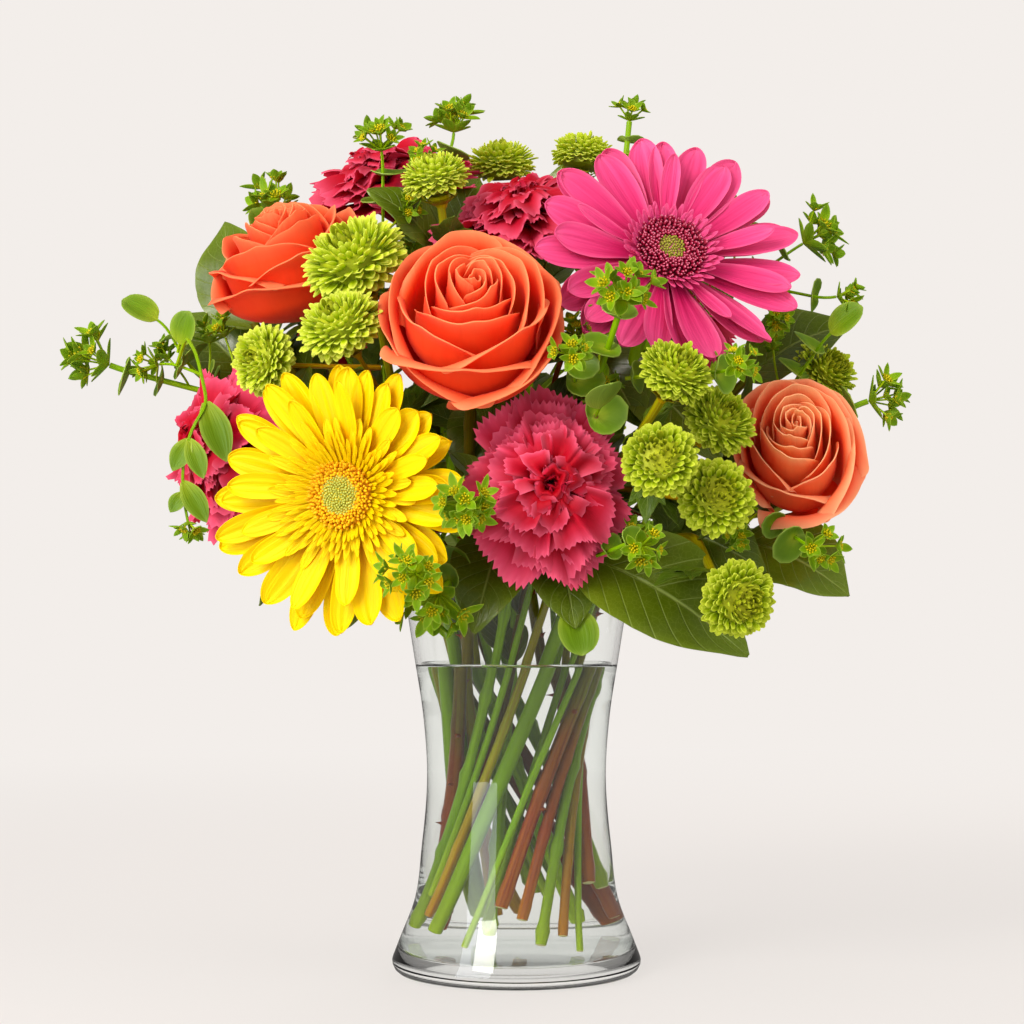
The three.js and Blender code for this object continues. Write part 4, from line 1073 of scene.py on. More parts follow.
@dataclass
class Growth:
    """What grows as one piece: its tissue, and the random draws that vary it."""

    name: str
    seed: int
    tissue: Tissue = field(init=False, default_factory=Tissue)
    draw: np.random.Generator = field(init=False)

    def __post_init__(self) -> None:
        """Starts the random draws."""
        self.draw = np.random.default_rng(self.seed)

    def tones(self, count: int) -> Array:
        """Returns a random mark for each of so many blades."""
        return self.draw.uniform(0, 1, count)

    def vary(self, low: float, high: float, count: int) -> Array:
        """Returns a random number between two for each of so many blades, shaped for their grids."""
        return self.draw.uniform(low, high, count)[:, None, None]

    def stray(self, spread: float, count: int) -> Array:
        """Returns a random number round 0 for each of so many blades, shaped for their grids."""
        return self.draw.normal(0, spread, count)[:, None, None]

    def clear_way(self, root: Array, stem_way: Array, length: float) -> Array:
        """The direction in which a leaf finds most room between the heads.

        Args:
            root: where the leaf springs from.
            stem_way: the way the stem runs there.
            length: the leaf's length.

        Returns:
            The direction, at length one.
        """
        ways = unit(about(stem_way, even(14) + self.draw.uniform(0, 0.4)) + 0.5 * stem_way)
        places = root + ways[:, None] * length * np.array([0.4, 0.75, 1.05])[:, None]
        room = np.min([head.shut_out(places, 3).min(axis=1) for head in ALL_HEADS], axis=0)
        tips = places[:, -1]
        past = np.maximum(np.hypot(tips[:, 0], tips[:, 1]) - BOUQUET_REACH, 0)
        room = np.minimum(room, 1.5) - 0.02 * past - 0.02 * np.maximum(LEAVES_ABOVE - tips[:, 2], 0)
        return ways[(room + self.draw.uniform(0, 0.12, len(room))).argmax()]


@dataclass
class Stem(Growth):
    """A stem with its branches, traced through a node; its paths run from foot to head."""

    paths: list[Array] = field(init=False, default_factory=list)

    def grow(self, node: str, kind: str, heads: list[Head] | list[Leaf]) -> None:
        """Adds the main stem, with its nodes and its pale cut end, and its branches.

        Args:
            node: the node that holds them.
            kind: which kind of stem it is.
            heads: what each path ends at, that of the main stem first.
        """
        form, tracer = STEMS[kind], Tracer(node)
        base, way = heads[0].base, heads[0].way
        traced = tracer.follow(base - way * form.neck, -way, form.radius)
        trunk = resampled(smoothed(np.vstack([base, traced]), 6), 3.0)[::-1]
        if trunk[0, 2] > LOWEST_FOOT:
            LOG.warning("%s: main stem traced only down to %.0f", node, trunk[0, 2])
        radii, tone, down = form.radii(trunk), self.draw.uniform(), unit(trunk[0] - trunk[1])
        self.tissue.tube(trunk, radii, 10, tone, form.skin)
        self.tissue.spindles(trunk[:1] - down * 0.4, down[None], 0.75, radii[0] * 0.93, [1, 1, 0.75],
                             np.array([tone]), form.cut, 10)
        self.paths.append(trunk)
        for head in heads[1:]:
            traced = tracer.follow(head.base - head.way * form.branch_neck, -head.way, form.branch, trunk)
            path = resampled(smoothed(np.vstack([head.base, traced]), 3), 2.5)[::-1]
            away = np.linalg.norm(trunk - path[0], axis=1).min()
            if away > 3:
                LOG.warning("%s: a branch ends %.0f mm from its stem", node, away)
            radii = np.linspace(*form.branch_radii, len(path))
            self.tissue.tube(path, radii, form.branch_sides, self.draw.uniform(), form.skin)
            self.paths.append(path)

    def nearest(self, place: Array, above: float = 0.0) -> Array:
        """Returns the place on the stems, above a height, that is nearest to another place."""
        spots = np.concatenate(self.paths)
        spots = spots[spots[:, 2] > above]
        return spots[np.linalg.norm(spots - place, axis=1).argmin()]

    def set_on(self, head: Head, parts: Tissue, roll: float = 0.0) -> None:
        """Adds what was made round +Z at the base of a head, after a roll about +Z."""
        self.tissue.take(parts.moved(turned_to(head.way, roll), head.base))


# ---- Gerberas --------------------------------------------


@dataclass(frozen=True)
class RayRow:
    """A row of ray petals: lengths and widths are shares of the reach, levels are millimetres."""

    count: int
    share: float
    width: float
    level: float
    rise: float
    droop: float
    start: float = 0.15


@dataclass
class Gerbera(Growth):
    """A gerbera's ray petals and its centre of disc florets.

    The centre and the closed buds in it are shares of the reach and of the centre. The rays drift
    sideways by some millimetres towards their tips.
    """

    head: Head
    rows: tuple[RayRow, ...]
    petal: str
    eye: str
    ring: str
    disc_share: float
    eye_share: float
    drift: tuple[float, float]
    florets: int = 420

    def petals(self) -> None:
        """Adds the rows of ridged ray petals."""
        reach = self.head.reach
        across = np.linspace(-1, 1, 13)
        along = 1 - (1 - np.linspace(0, 1, 18)) ** 1.7
        far = along[:, None]
        tip = np.maximum(1 - np.clip((far - 0.7) / 0.3, 0, 1) ** 2.5, 0.0009) ** 0.62
        swell = mix(0.34, 1, ease(far, 0, 0.66)) * tip
        for number, row in enumerate(self.rows):
            count = row.count
            start = reach * row.start
            length = reach * row.share * self.vary(0.92, 1.03, count) - start
            half = reach * row.width / 2 * self.vary(0.86, 1.1, count)
            out = half * swell * across
            notch = self.vary(-0.01, 0.05, count) * np.exp(-((across / 0.28) ** 2))
            ahead = start + length * (far - notch * ease(far, 0.84, 1))
            bend = self.stray(0.045, count) * length * far**2
            lift = row.level + row.rise * far**2 - row.droop * far**3
            sway = self.stray(0.035, count) * length * far**1.5
            gutter = half * self.vary(0.1, 0.34, count) * (across**2 - 0.3) * ease(far, 0.02, 0.4)
            ridge = -0.24 * np.cos(3 * np.pi * across) * np.minimum(half / 5, 1) * ease(far, 0.1, 0.4)
            twist = 0.16 + self.stray(0.2, count) * far
            level = lift + sway + gutter + ridge + out * np.sin(twist)
            grids = np.stack(np.broadcast_arrays(out * np.cos(twist) + bend, ahead, level), axis=-1)
            angle = even(count, 0.5 * number + self.draw.uniform(-0.2, 0.2, count))
            grids = set_round(grids, angle)
            grids[..., :2] += np.array(self.drift) * ((start + length * far) / reach)[..., None] ** 2
            self.tissue.blades(grids, self.tones(count), 0.55, along=along)
        hub = reach * 0.2
        self.tissue.turned([(hub * 0.8, 0), (hub, 0.6), (hub, 6.2), (hub * 0.9, 6.9)], 24)

    def disc(self) -> Tissue:
        """Returns the dome with its closed buds inside and open florets round them."""
        tissue = Tissue()
        draw = np.random.default_rng(self.seed + 1)
        reach = self.head.reach
        dome = ((0.17, 7.2), (0.235, 8.0), (0.22, 9.2), (0.15, 10.4), (0.05, 10.4))
        tissue.turned([(reach * radius, level) for radius, level in dome], 32, 1)
        number = np.arange(self.florets)
        share = np.sqrt((number + 0.5) / self.florets)
        out = spokes(number * GOLDEN_ANGLE)
        level = np.interp(share, [0, 0.4, 0.75, 1], [10.0, 10.2, 9.6, 7.8])
        roots = out * (share * reach * self.disc_share)[:, None] + level[:, None] * UP
        ways = UP + out * (0.7 * share**3)[:, None] + draw.normal(0, 0.14, (self.florets, 3))
        tones = draw.uniform(0, 1, self.florets)
        inner = share < self.eye_share
        tissue.spindles(roots[inner], ways[inner], draw.uniform(1.0, 1.6, inner.sum()), reach * 0.0105,
                        [0.7, 1, 0.9, 0.35], tones[inner], 0)
        outer = ~inner
        long = np.interp(share[outer], [self.eye_share, 0.85, 1], [1.8, 3.4, 4.4])
        long *= draw.uniform(0.7, 1.2, outer.sum())
        tissue.spindles(roots[outer], ways[outer], long, reach * 0.0115,
                        [0.5, 0.6, 0.75, 1.15, 0.9, 0.3], tones[outer], 1)
        return tissue

    def build(self) -> None:
        """Makes the petals and the centre."""
        place = turned_to(self.head.way), self.head.base
        slot = "yellow" if "yellow" in self.name else "pink"
        self.petals()
        rays = self.tissue.moved(*place)
        rays.make(f"{self.name}_rays", (self.petal,), (f"{self.name}_petals",), f"{slot}_petals")
        disc = self.disc().moved(*place)
        disc.make(f"{self.name}_centre", (self.eye, self.ring), (f"{self.name}_disc",), f"{slot}_centre")


# ---- Roses -----------------------------------------------


@dataclass(frozen=True)
class Whorl:
    """A whorl of a rose: radii and heights are shares of the reach, curl and lip millimetres."""

    count: int
    root: float
    belly: float
    rim: float
    height: float
    span: float
    curl: float
    lip: float


ROSE_WHORLS = (
    Whorl(3, 0.0, 0.95, 1.03, 0.96, 2.5, 6.0, 5.0),
    Whorl(4, 0.02, 0.9, 0.93, 1.2, 2.2, 7.0, 4.4),
    Whorl(4, 0.08, 0.79, 0.75, 1.38, 2.3, 8.0, 3.6),
    Whorl(3, 0.18, 0.62, 0.56, 1.47, 2.9, 7.0, 2.6),
    Whorl(3, 0.28, 0.46, 0.4, 1.52, 3.0, 5.0, 1.8),
    Whorl(3, 0.4, 0.33, 0.27, 1.55, 3.2, 3.5, 1.2),
    Whorl(3, 0.5, 0.21, 0.16, 1.57, 3.2, 2.0, 0.8),
    Whorl(2, 0.6, 0.12, 0.08, 1.56, 4.2, 1.2, 0.5),
)


@dataclass
class Rose(Growth):
    """A rose's petals, from the rolled outer ones to the tight heart."""

    head: Head
    petal: str

    def petals(self) -> None:
        """Adds every whorl."""
        reach = self.head.reach
        across = np.linspace(-1, 1, 25)
        along = 1 - (1 - np.linspace(0, 1, 21)) ** 1.6
        rows = along[:, None]
        opening = np.sin(np.minimum(rows * 1.7, 1) * np.pi / 2) ** 0.9
        for number, whorl in enumerate(ROSE_WHORLS):
            count = whorl.count
            size = self.vary(0.96, 1.02, count)
            phase = self.vary(0, TURN, count)
            side = np.abs(across + self.stray(0.12, count) * rows)
            lip = whorl.lip * self.vary(0.55, 1.3, count)
            roll = ease(rows + 0.1 * side**2, 0.8, 1.08)
            radius = reach * size * mix(mix(0.14, whorl.belly, opening), whorl.rim, rows**3)
            radius = radius + 1.6 * across * opening + lip * roll
            radius = radius + 0.4 * lip * ease(side, 0.7, 1.05) * opening
            radius = radius + 0.9 * np.sin(3.2 * across + phase) * rows**4
            angle = across * whorl.span / 2 * mix(0.16, 1, opening) * (1 - 0.2 * rows**6)
            level = reach * mix(whorl.root, whorl.height * self.vary(0.97, 1.02, count), rows)
            level = level - whorl.curl * rows**2 * side**2.6 - lip * 0.85 * roll**2.2
            level = level + 0.6 * np.sin(5 * across + 2 * phase) * rows**5
            level = level + 1.6 * np.exp(-((side / 0.16) ** 2)) * rows**8
            grids = np.stack([radius * np.sin(angle), radius * np.cos(angle), level], axis=-1)
            turn = even(count, self.draw.uniform(-0.08, 0.08, count)) + number * GOLDEN_ANGLE
            tones = np.clip(0.95 - 0.26 * number + self.draw.uniform(-0.2, 0.2, count), 0, 1)
            self.tissue.blades(set_round(grids, turn), tones, 0.5, along=along)
        heart = [(0.1, 0.02), (0.22, 0.1), (0.3, 0.4), (0.14, 1.0), (0.05, 1.42), (0.02, 1.46)]
        self.tissue.turned(heart, 16, scale=reach)

    def build(self) -> None:
        """Makes the petals."""
        self.petals()
        bloom = self.tissue.moved(self.head.turn(0.7 * self.seed), self.head.base)
        bloom.make(f"{self.name}_bloom", (self.petal,), (f"{self.name}_petals",), "rose_petals")


# ---- Carnations ------------------------------------------


@dataclass(frozen=True)
class Frill:
    """A row of a carnation's petals: how many, and shares of the reach."""

    count: int
    edge: float
    level: float
    width: float
    ruffle: float


CARNATION_FRILLS = (
    Frill(6, 1.36, 0.5, 0.76, 0.08),
    Frill(6, 1.3, 0.68, 0.74, 0.1),
    Frill(6, 1.14, 0.86, 0.68, 0.12),
    Frill(6, 0.94, 1.0, 0.6, 0.14),
    Frill(6, 0.72, 1.09, 0.52, 0.14),
    Frill(6, 0.48, 1.15, 0.43, 0.15),
    Frill(6, 0.32, 1.19, 0.36, 0.15),
    Frill(6, 0.16, 1.21, 0.3, 0.14),
    Frill(5, 0.06, 1.22, 0.24, 0.1),
)


@dataclass
class Carnation(Growth):
    """A carnation's ruffled, toothed petals."""

    head: Head
    petal: str = "cerise_carnation_petal"

    def petals(self) -> None:
        """Adds every row of petals."""
        reach = self.head.reach
        across = np.linspace(-1, 1, 35)
        along = np.linspace(0, 1, 13) ** 0.85
        tooth = np.zeros((len(along), len(across)))
        tooth[-1, 1::2] = 0.022
        for number, row in enumerate(CARNATION_FRILLS):
            count = row.count
            phase = self.vary(0, TURN, count)
            dome = 0.13 * across**2 + 0.06 * np.abs(np.sin(2.2 * across + phase))
            rows = along[:, None] * (1 - dome * along[:, None] ** 3)
            rows = rows - tooth * self.draw.uniform(0.6, 1.5, (count, 1, len(across)))
            edge = row.edge * self.vary(0.74, 1.07, count)
            bow = mix(1.3, 2.4, min(row.edge, 1)) * self.vary(0.85, 1.2, count)
            radius = mix(1.2, reach * edge, rows**bow)
            level = reach * row.level * self.vary(0.82, 1.08, count)
            level = level * np.sin(np.minimum(rows * 1.35, 1.25) * np.pi / 2)
            fan = reach * row.width * (0.06 + 0.94 * rows**1.5) * across
            wave = reach * row.ruffle * rows**2.4
            pitch = self.vary(3.6, 6.2, count)
            push = wave * (np.sin(pitch * across + phase) + 0.45 * np.sin(2.4 * pitch * across + 3 * phase))
            steep = ease(1 - row.edge, 0.0, 0.75)
            radius = radius - 0.16 * fan**2 / reach - push * (0.25 + 0.75 * steep)
            level = level + push * (1 - 0.7 * steep)
            shift = 0.5 * wave * np.cos(pitch * across + phase)
            grids = np.stack([fan + shift, radius, level], axis=-1)
            turn = even(count, self.draw.uniform(-0.34, 0.34, count)) + number * GOLDEN_ANGLE
            tones = np.clip(0.1 + 0.13 * number + self.draw.uniform(-0.25, 0.25, count), 0, 1)
            self.tissue.blades(set_round(grids, turn), tones, 0.4, along=along)
        heart = [(0.06, 0.01), (0.14, 0.1), (0.36, 0.5), (0.3, 0.75), (0.08, 0.85)]
        self.tissue.turned(heart, 16, scale=reach)

    def build(self) -> None:
        """Makes the petals."""
        self.petals()
        bloom = self.tissue.moved(self.head.turn(1.3 * self.seed), self.head.base)
        bloom.make(f"{self.name}_bloom", (self.petal,), (f"{self.name}_petals",), "carnation_petals")


# ---- Button chrysanthemums -------------------------------


@dataclass
class Button(Growth):
    """A button chrysanthemum: a flattened dome of spoon-shaped florets round a tight eye."""

    head: Head
    floret: str
    eye_share: float
    eye: str = "olive_button_eye"
    count: int = 260

    def florets(self) -> None:
        """Adds the florets and the core that they stand on."""
        draw, reach = self.draw, self.head.reach
        share = (np.arange(self.count) + 0.5) / self.count
        rise = 1 - 1.62 * share
        flat = np.sqrt(1 - rise**2)
        out = spokes(np.arange(self.count) * GOLDEN_ANGLE)
        way = out * flat[:, None] + UP * rise[:, None]
        way = way * (1 + draw.normal(0, 0.03, (self.count, 1))) + draw.normal(0, 0.05, (self.count, 3))
        middle = UP * 0.55 * reach
        inner = np.array([0.62, 0.62, 0.44]) * reach
        outer = np.where(rise > 0, 0.7, 0.62)[:, None] * UP + np.array([1.0, 1.0, 0])
        roots = middle + way * inner
        tips = middle + way * outer * reach * draw.uniform(0.93, 1.0, (self.count, 1))
        lengths = np.linalg.norm(tips - roots, axis=1)
        faces = UP * flat[:, None] - out * rise[:, None]
        widths = reach * np.interp(share, [0, 0.1, 0.5, 1], [0.1, 0.13, 0.18, 0.2])
        widths *= draw.uniform(0.85, 1.15, self.count)
        arch = np.interp(share, [0, 0.15, 0.5, 1], [0.5, 0.35, 0.08, -0.1])
        arch += draw.normal(0, 0.05, self.count)
        tones = self.tones(self.count)
        eye = share < self.eye_share
        for chosen, slot in ((eye, 1), (~eye, 0)):
            self.tissue.leaves(SPOON_FLORET, roots[chosen], tips[chosen] - roots[chosen], faces[chosen],
                               lengths[chosen], widths[chosen], tones[chosen], slot, arch[chosen])
        core = [(0.25, 0.1), (0.58, 0.2), (0.7, 0.5), (0.56, 0.86), (0.15, 1.0)]
        self.tissue.turned(core, 16, 1, reach)

    def build(self) -> None:
        """Makes the head."""
        self.florets()
        head = self.tissue.moved(turned_to(self.head.way, 0.9 * self.seed), self.head.base)
        head.make(f"{self.name}_florets", (self.floret, self.eye), (self.name,), "green_florets")


# ---- Stems of the blooms ---------------------------------


@dataclass
class BloomStem(Stem):
    """The stem of one bloom with what grows on it: cup, sepals or calyx, and leaves."""

    head: Head

    def build(self) -> None:
        """Makes the stem."""
        kind = self.head.kind.value[0]
        node = f"{self.name}_stem"
        self.grow(node, kind, [self.head])
        finishes = {"gerbera": self.gerbera, "rose": self.rose, "carnation": self.carnation}[kind]()
        slot = "woody_stem" if kind == "rose" else "green_stem"
        self.tissue.make(f"{self.name}_stalk", finishes, (node,), slot)

    def gerbera(self) -> tuple[str, ...]:
        """Adds a cup of overlapping bracts, and returns the finishes."""
        hub = self.head.reach * 0.22
        cup = Tissue()
        cup.turned([(2.9, -13), (3.4, -12), (6.5, -8.5), (hub, -1.6), (hub - 0.6, -0.4)], 20)
        for row, (count, level) in enumerate(((16, -9.5), (18, -6.5))):
            out = spokes(even(count, row / 2))
            roots = out * (5.6 + 3.4 * row) + level * UP
            ways = out * 0.9 + UP * 0.75
            cup.leaves(GERBERA_BRACT, roots, ways, UP - out, 9, 3.0, self.tones(count), 0, -0.05)
        self.set_on(self.head, cup)
        return "green_stalk", "cut_end"

    def rose(self) -> tuple[str, ...]:
        """Adds sepals, thorns and compound leaves, and returns the finishes."""
        draw, radius = self.draw, STEMS["rose"].radius
        cup = Tissue()
        cup.turned([(2.5, -10), (2.8, -9), (5.2, -5.4), (6.2, -2.6), (5.4, -0.5)], 16, 2)
        out = spokes(even(5))
        cup.leaves(SEPAL, out * 5 - 2.4 * UP, out - 0.15 * UP, UP - 0.1 * out, draw.uniform(20, 27, 5), 7.5,
                   self.tones(5), 2, draw.uniform(-0.35, 0.1, 5))
        self.set_on(self.head, cup)
        for place, way in along_stem(self.paths[0], 60, 34, 23):
            out = unit(about(way, draw.uniform(0, TURN, 1)))
            self.tissue.spindles(place + out * radius * 0.8, out + 0.25 * way, 3.2, 1.5,
                                 [1, 0.55, 0.25, 0.06], np.array([0.8]), 0)
        for place, way in along_stem(self.paths[0], 198, 24, 24)[:5]:
            self.compound_leaf(place, way)
        return "brown_twig", "cut_end", "rose_leaf"

    def compound_leaf(self, place: Array, stem_way: Array) -> None:
        """Adds a rose leaf of five leaflets, from its place on the stem and the stem's way there."""
        draw = self.draw
        length = draw.uniform(34, 42)
        way = self.clear_way(place, stem_way, length + 18)
        face = unit(UP + 0.3 * stem_way - (UP @ way) * way)
        side = np.cross(way, face)
        share = np.linspace(0, 1, 9)[:, None]
        rachis = place + way * share * length + face * 0.08 * length * np.sin(share * np.pi)
        self.tissue.tube(rachis, np.linspace(0.9, 0.45, 9), 6, 0.5, 2)
        leans = np.array([1, -1, 1, -1, 0])[:, None]
        ways = way * np.where(leans == 0, 1, 0.55) + side * leans
        faces = np.tile(face, (5, 1)) + 0.25 * draw.normal(0, 1, (5, 3))
        sizes = np.array([25, 25, 29, 29, 36]) * draw.uniform(0.85, 1.1, 5)
        self.tissue.leaves(LEAFLET, rachis[[4, 4, 7, 7, 8]], ways, faces, sizes, sizes * 0.66,
                           self.tones(5), 2, draw.uniform(-0.2, 0.05, 5))

    def carnation(self) -> tuple[str, ...]:
        """Adds the long calyx and narrow leaves, and returns the finishes."""
        cup = Tissue()
        cup.turned([(2.1, -21), (3.4, -20), (4.6, -15), (5.4, -8), (6.2, -1.6), (5.2, -0.5)], 16)
        out = spokes(even(5))
        for root, spread, length, width, arch in ((out * 5.2 - 5 * UP, 0.35, 7.5, 5.0, -0.2),
                                                  (out * 2.6 - 20 * UP, 0.25, 7.0, 4.6, 0.0)):
            cup.leaves(CALYX_TOOTH, root, UP + spread * out, -out, length, width, self.tones(5), 0, arch)
        self.set_on(self.head, cup)
        for place, way in along_stem(self.paths[0], 150, 30, 38):
            first = self.clear_way(place, way, 40)
            other = unit(first - 2 * (first - (first @ way) * way))
            ways = unit(np.array([first, other]) + 0.7 * way)
            roots, faces = np.tile(place, (2, 1)), np.tile(way, (2, 1))
            self.tissue.leaves(NARROW_LEAF, roots, ways, faces, self.draw.uniform(34, 52, 2), 4.4,
                               self.tones(2), 2, self.draw.uniform(-0.45, -0.1, 2))
        return "green_stalk", "cut_end", "bupleurum_leaf"


# ---- Branched stems --------------------------------------

FILLERS_ABOVE = 186.0


@dataclass
class ButtonStem(Stem):
    """A branched stem of button chrysanthemums, with its leaves."""

    heads: list[Head]

    def build(self) -> None:
        """Makes the stem."""
        self.grow(self.name, "pom", self.heads)
        for head in self.heads:
            self.calyx(head)
        for number, path in enumerate(self.paths):
            for place, way in along_stem(path, 192, 16 if number else 24, 21)[:4]:
                self.leaf(place, way)
        finishes = ("olive_stalk", "cut_end", "rose_leaf")
        self.tissue.make(f"{self.name}_stalk", finishes, (self.name,), "green_stem")

    def calyx(self, head: Head) -> None:
        """Adds the cup of small bracts under a head."""
        cup = Tissue()
        cup.turned([(1.1, -7), (1.3, -6), (3.4, -2.6), (5.0, -0.6), (4.2, 0.6)], 12)
        out = spokes(even(12))
        roots = out * 2.8 - 3.2 * UP
        cup.leaves(BUTTON_BRACT, roots, out + 0.55 * UP, UP - out, 6.0, 2.6, self.tones(12), 0, 0.05)
        self.set_on(head, cup)

    def leaf(self, place: Array, stem_way: Array) -> None:
        """Adds a leaf of three lobes, from its place on the stem and the stem's way there."""
        length = self.draw.uniform(22, 34)
        way = self.clear_way(place, stem_way, length)
        face = unit(UP - (UP @ way) * way + 0.2 * stem_way)
        side = np.cross(way, face)
        ways = np.array([way, way + 0.75 * side, way - 0.75 * side])
        roots = place + way * np.array([0.0, 0.28, 0.28])[:, None] * length
        lengths = length * np.array([1.0, 0.5, 0.5])
        self.tissue.leaves(BUTTON_LOBE, roots, ways, np.tile(face, (3, 1)), lengths, lengths * 0.46,
                           self.tones(3), 2, self.draw.uniform(-0.15, 0.0, 3))


@dataclass
class BupleurumSpray(Stem):
    """A branched stem of bupleurum, with umbels, bracts and leaves that the stem passes through."""

    heads: list[Head]

    def build(self) -> None:
        """Makes the spray."""
        self.grow(self.name, "bupleurum", self.heads)
        for head in self.heads:
            if head.kind is Kind.UMBEL:
                self.umbel(head)
            else:
                faces = np.array([[0.1, -0.7, 0.7]])
                self.tissue.leaves(ROUND_LEAF, head.base[None], head.way[None], faces, 2 * head.reach,
                                   1.75 * head.reach, self.tones(1), 4, -0.06)
        for path in self.paths:
            for number, (place, way) in enumerate(along_stem(path, 192, 12, 13)[:6]):
                if number % 3 == 2:
                    self.side_umbel(place, way)
                else:
                    self.pierced_leaf(place, way)
        if self.name in HANGING:
            self.hanging_twig(HANGING[self.name])
        finishes = ("bupleurum_leaf", "bupleurum_floret", "green_stalk", "cut_end", "round_pierced_leaf")
        self.tissue.make(f"{self.name}_spray", finishes, (self.name,), "bupleurum_green")

    def hanging_twig(self, bends: list[Place]) -> None:
        """Adds a twig that hangs over a bloom, with its leaves and a small umbel."""
        start = self.nearest(np.array(bends[0]))
        LOG.info("%s: twig from %s", self.name, start.round())
        path = resampled(smoothed(resampled(np.vstack([start, bends]), 3.0), 4), 1.5)
        self.tissue.tube(path, np.linspace(0.9, 0.6, len(path)), 6, self.draw.uniform(), 2)
        for share, way, length, width in HANGING_LEAVES:
            root = path[int(share * (len(path) - 1))]
            faces = np.array([[0.15, -1.0, 0.3]])
            self.tissue.leaves(TWIG_LEAF, root[None], np.array([way]), faces, length, width, self.tones(1), 4,
                               -0.04)
        self.umbel_at(path, 6, 3)

    def umbel_at(self, twig: Array, reach: float, above: float) -> None:
        """Adds an umbel of that reach with its middle some millimetres beyond a twig's end."""
        end = unit(twig[-1] - twig[-2])
        self.umbel(Head(Kind.UMBEL, tuple(twig[-1] + end * above), tuple(end), reach))

    def side_umbel(self, place: Array, way: Array) -> None:
        """Adds a small umbel on a side twig, from its place on the stem and the stem's way there."""
        length = self.draw.uniform(15, 22)
        out = self.clear_way(place, way, length + 10)
        share = np.linspace(0, 1, 7)[:, None]
        twig = place + out * share * length + way * 4 * share**2
        self.tissue.tube(twig, 0.55, 6, self.draw.uniform(), 2)
        reach = self.draw.uniform(6.5, 9)
        self.umbel_at(twig, reach, reach * 0.55)

    def umbel(self, head: Head) -> None:
        """Adds a compound umbel: bracts, rays, and star-like umbellets with yellow florets."""
        parts, draw, reach = Tissue(), self.draw, head.reach
        out = spokes(even(5, draw.uniform(-0.2, 0.2, 5)))
        parts.leaves(UMBEL_BRACT, out * 0.3 + 0.5 * UP, out + 0.35 * UP, UP - 0.3 * out,
                     reach * draw.uniform(0.6, 0.9, 5), reach * 0.4, self.tones(5), 0, 0.05)
        rays = 9 if reach > 12 else 5
        lean = draw.uniform(0.7, 1.3, rays)
        lean[::4] = 0.3
        ways = unit(spokes(even(rays) + 0.6) * lean[:, None] + UP)
        ends = ways * reach * draw.uniform(0.5, 0.98, rays)[:, None]
        small = min(max(reach * 0.5, 5.4), 8.0)
        for way, end in zip(ways, ends):
            parts.tube(np.linspace(0.4 * UP, end, 4), 0.42, 6, draw.uniform(), 2)
            self.umbellet(parts, end, way, small * draw.uniform(0.85, 1.15))
        self.set_on(head, parts, draw.uniform(0, TURN))

    def umbellet(self, parts: Tissue, place: Array, way: Array, reach: float) -> None:
        """Adds a star of five pointed bracts with a tuft of florets.

        Args:
            parts: what it is added to.
            place: where it stands.
            way: the way it faces.
            reach: the length of its bracts.
        """
        draw, count = self.draw, 14
        out = about(way, even(5) + draw.uniform(0, 1))
        ways = out + draw.uniform(0.35, 0.9, (5, 1)) * way
        long, wide = reach * draw.uniform(0.75, 1.3, 5), reach * draw.uniform(0.45, 0.62, 5)
        parts.leaves(STAR_BRACT, place + out * 0.2, ways, way - 0.6 * out, long, wide, self.tones(5), 0, 0.12)
        ring = (np.sqrt((np.arange(count) + 0.5) / count) * reach * 0.36)[:, None]
        spots = about(way, np.arange(count) * GOLDEN_ANGLE) * ring
        rise = (reach * 0.32 - 0.35 * ring) * way
        parts.spindles(place + spots + rise, way + 0.12 * spots, 0.9, 0.46, [0.35, 1, 0.85, 0.3],
                       self.tones(count), 1)
        stalks = spots * 0.8 + rise
        parts.spindles(place + spots * 0.2, stalks, np.linalg.norm(stalks, axis=1), 0.2, [1, 0.9, 0.9],
                       self.tones(count), 1, 4)

    def pierced_leaf(self, place: Array, way: Array) -> None:
        """Adds a round leaf that the stem passes through at a place, and the stem's way there."""
        size = self.draw.uniform(5.0, 8.5)
        angle, share = np.linspace(-np.pi, np.pi, 17), np.linspace(0, 1, 6)[:, None]
        cos = np.cos(angle)
        lean = self.clear_way(place, way, 14)
        lean = unit(lean - (lean @ way) * way)
        length = size * (1 + 0.55 * cos) * (1 + 0.12 * np.maximum(cos, 0) ** 8)
        rise = 0.28 * size * share**1.5 + 0.5 * np.sin(3 * angle) * share**2
        ways = cos[:, None] * lean + np.sin(angle)[:, None] * np.cross(way, lean)
        grid = place + mix(1.0, length, share)[..., None] * ways + rise[..., None] * way
        self.tissue.blades(grid[None, :, ::-1], self.tones(1), 0.45, 4)


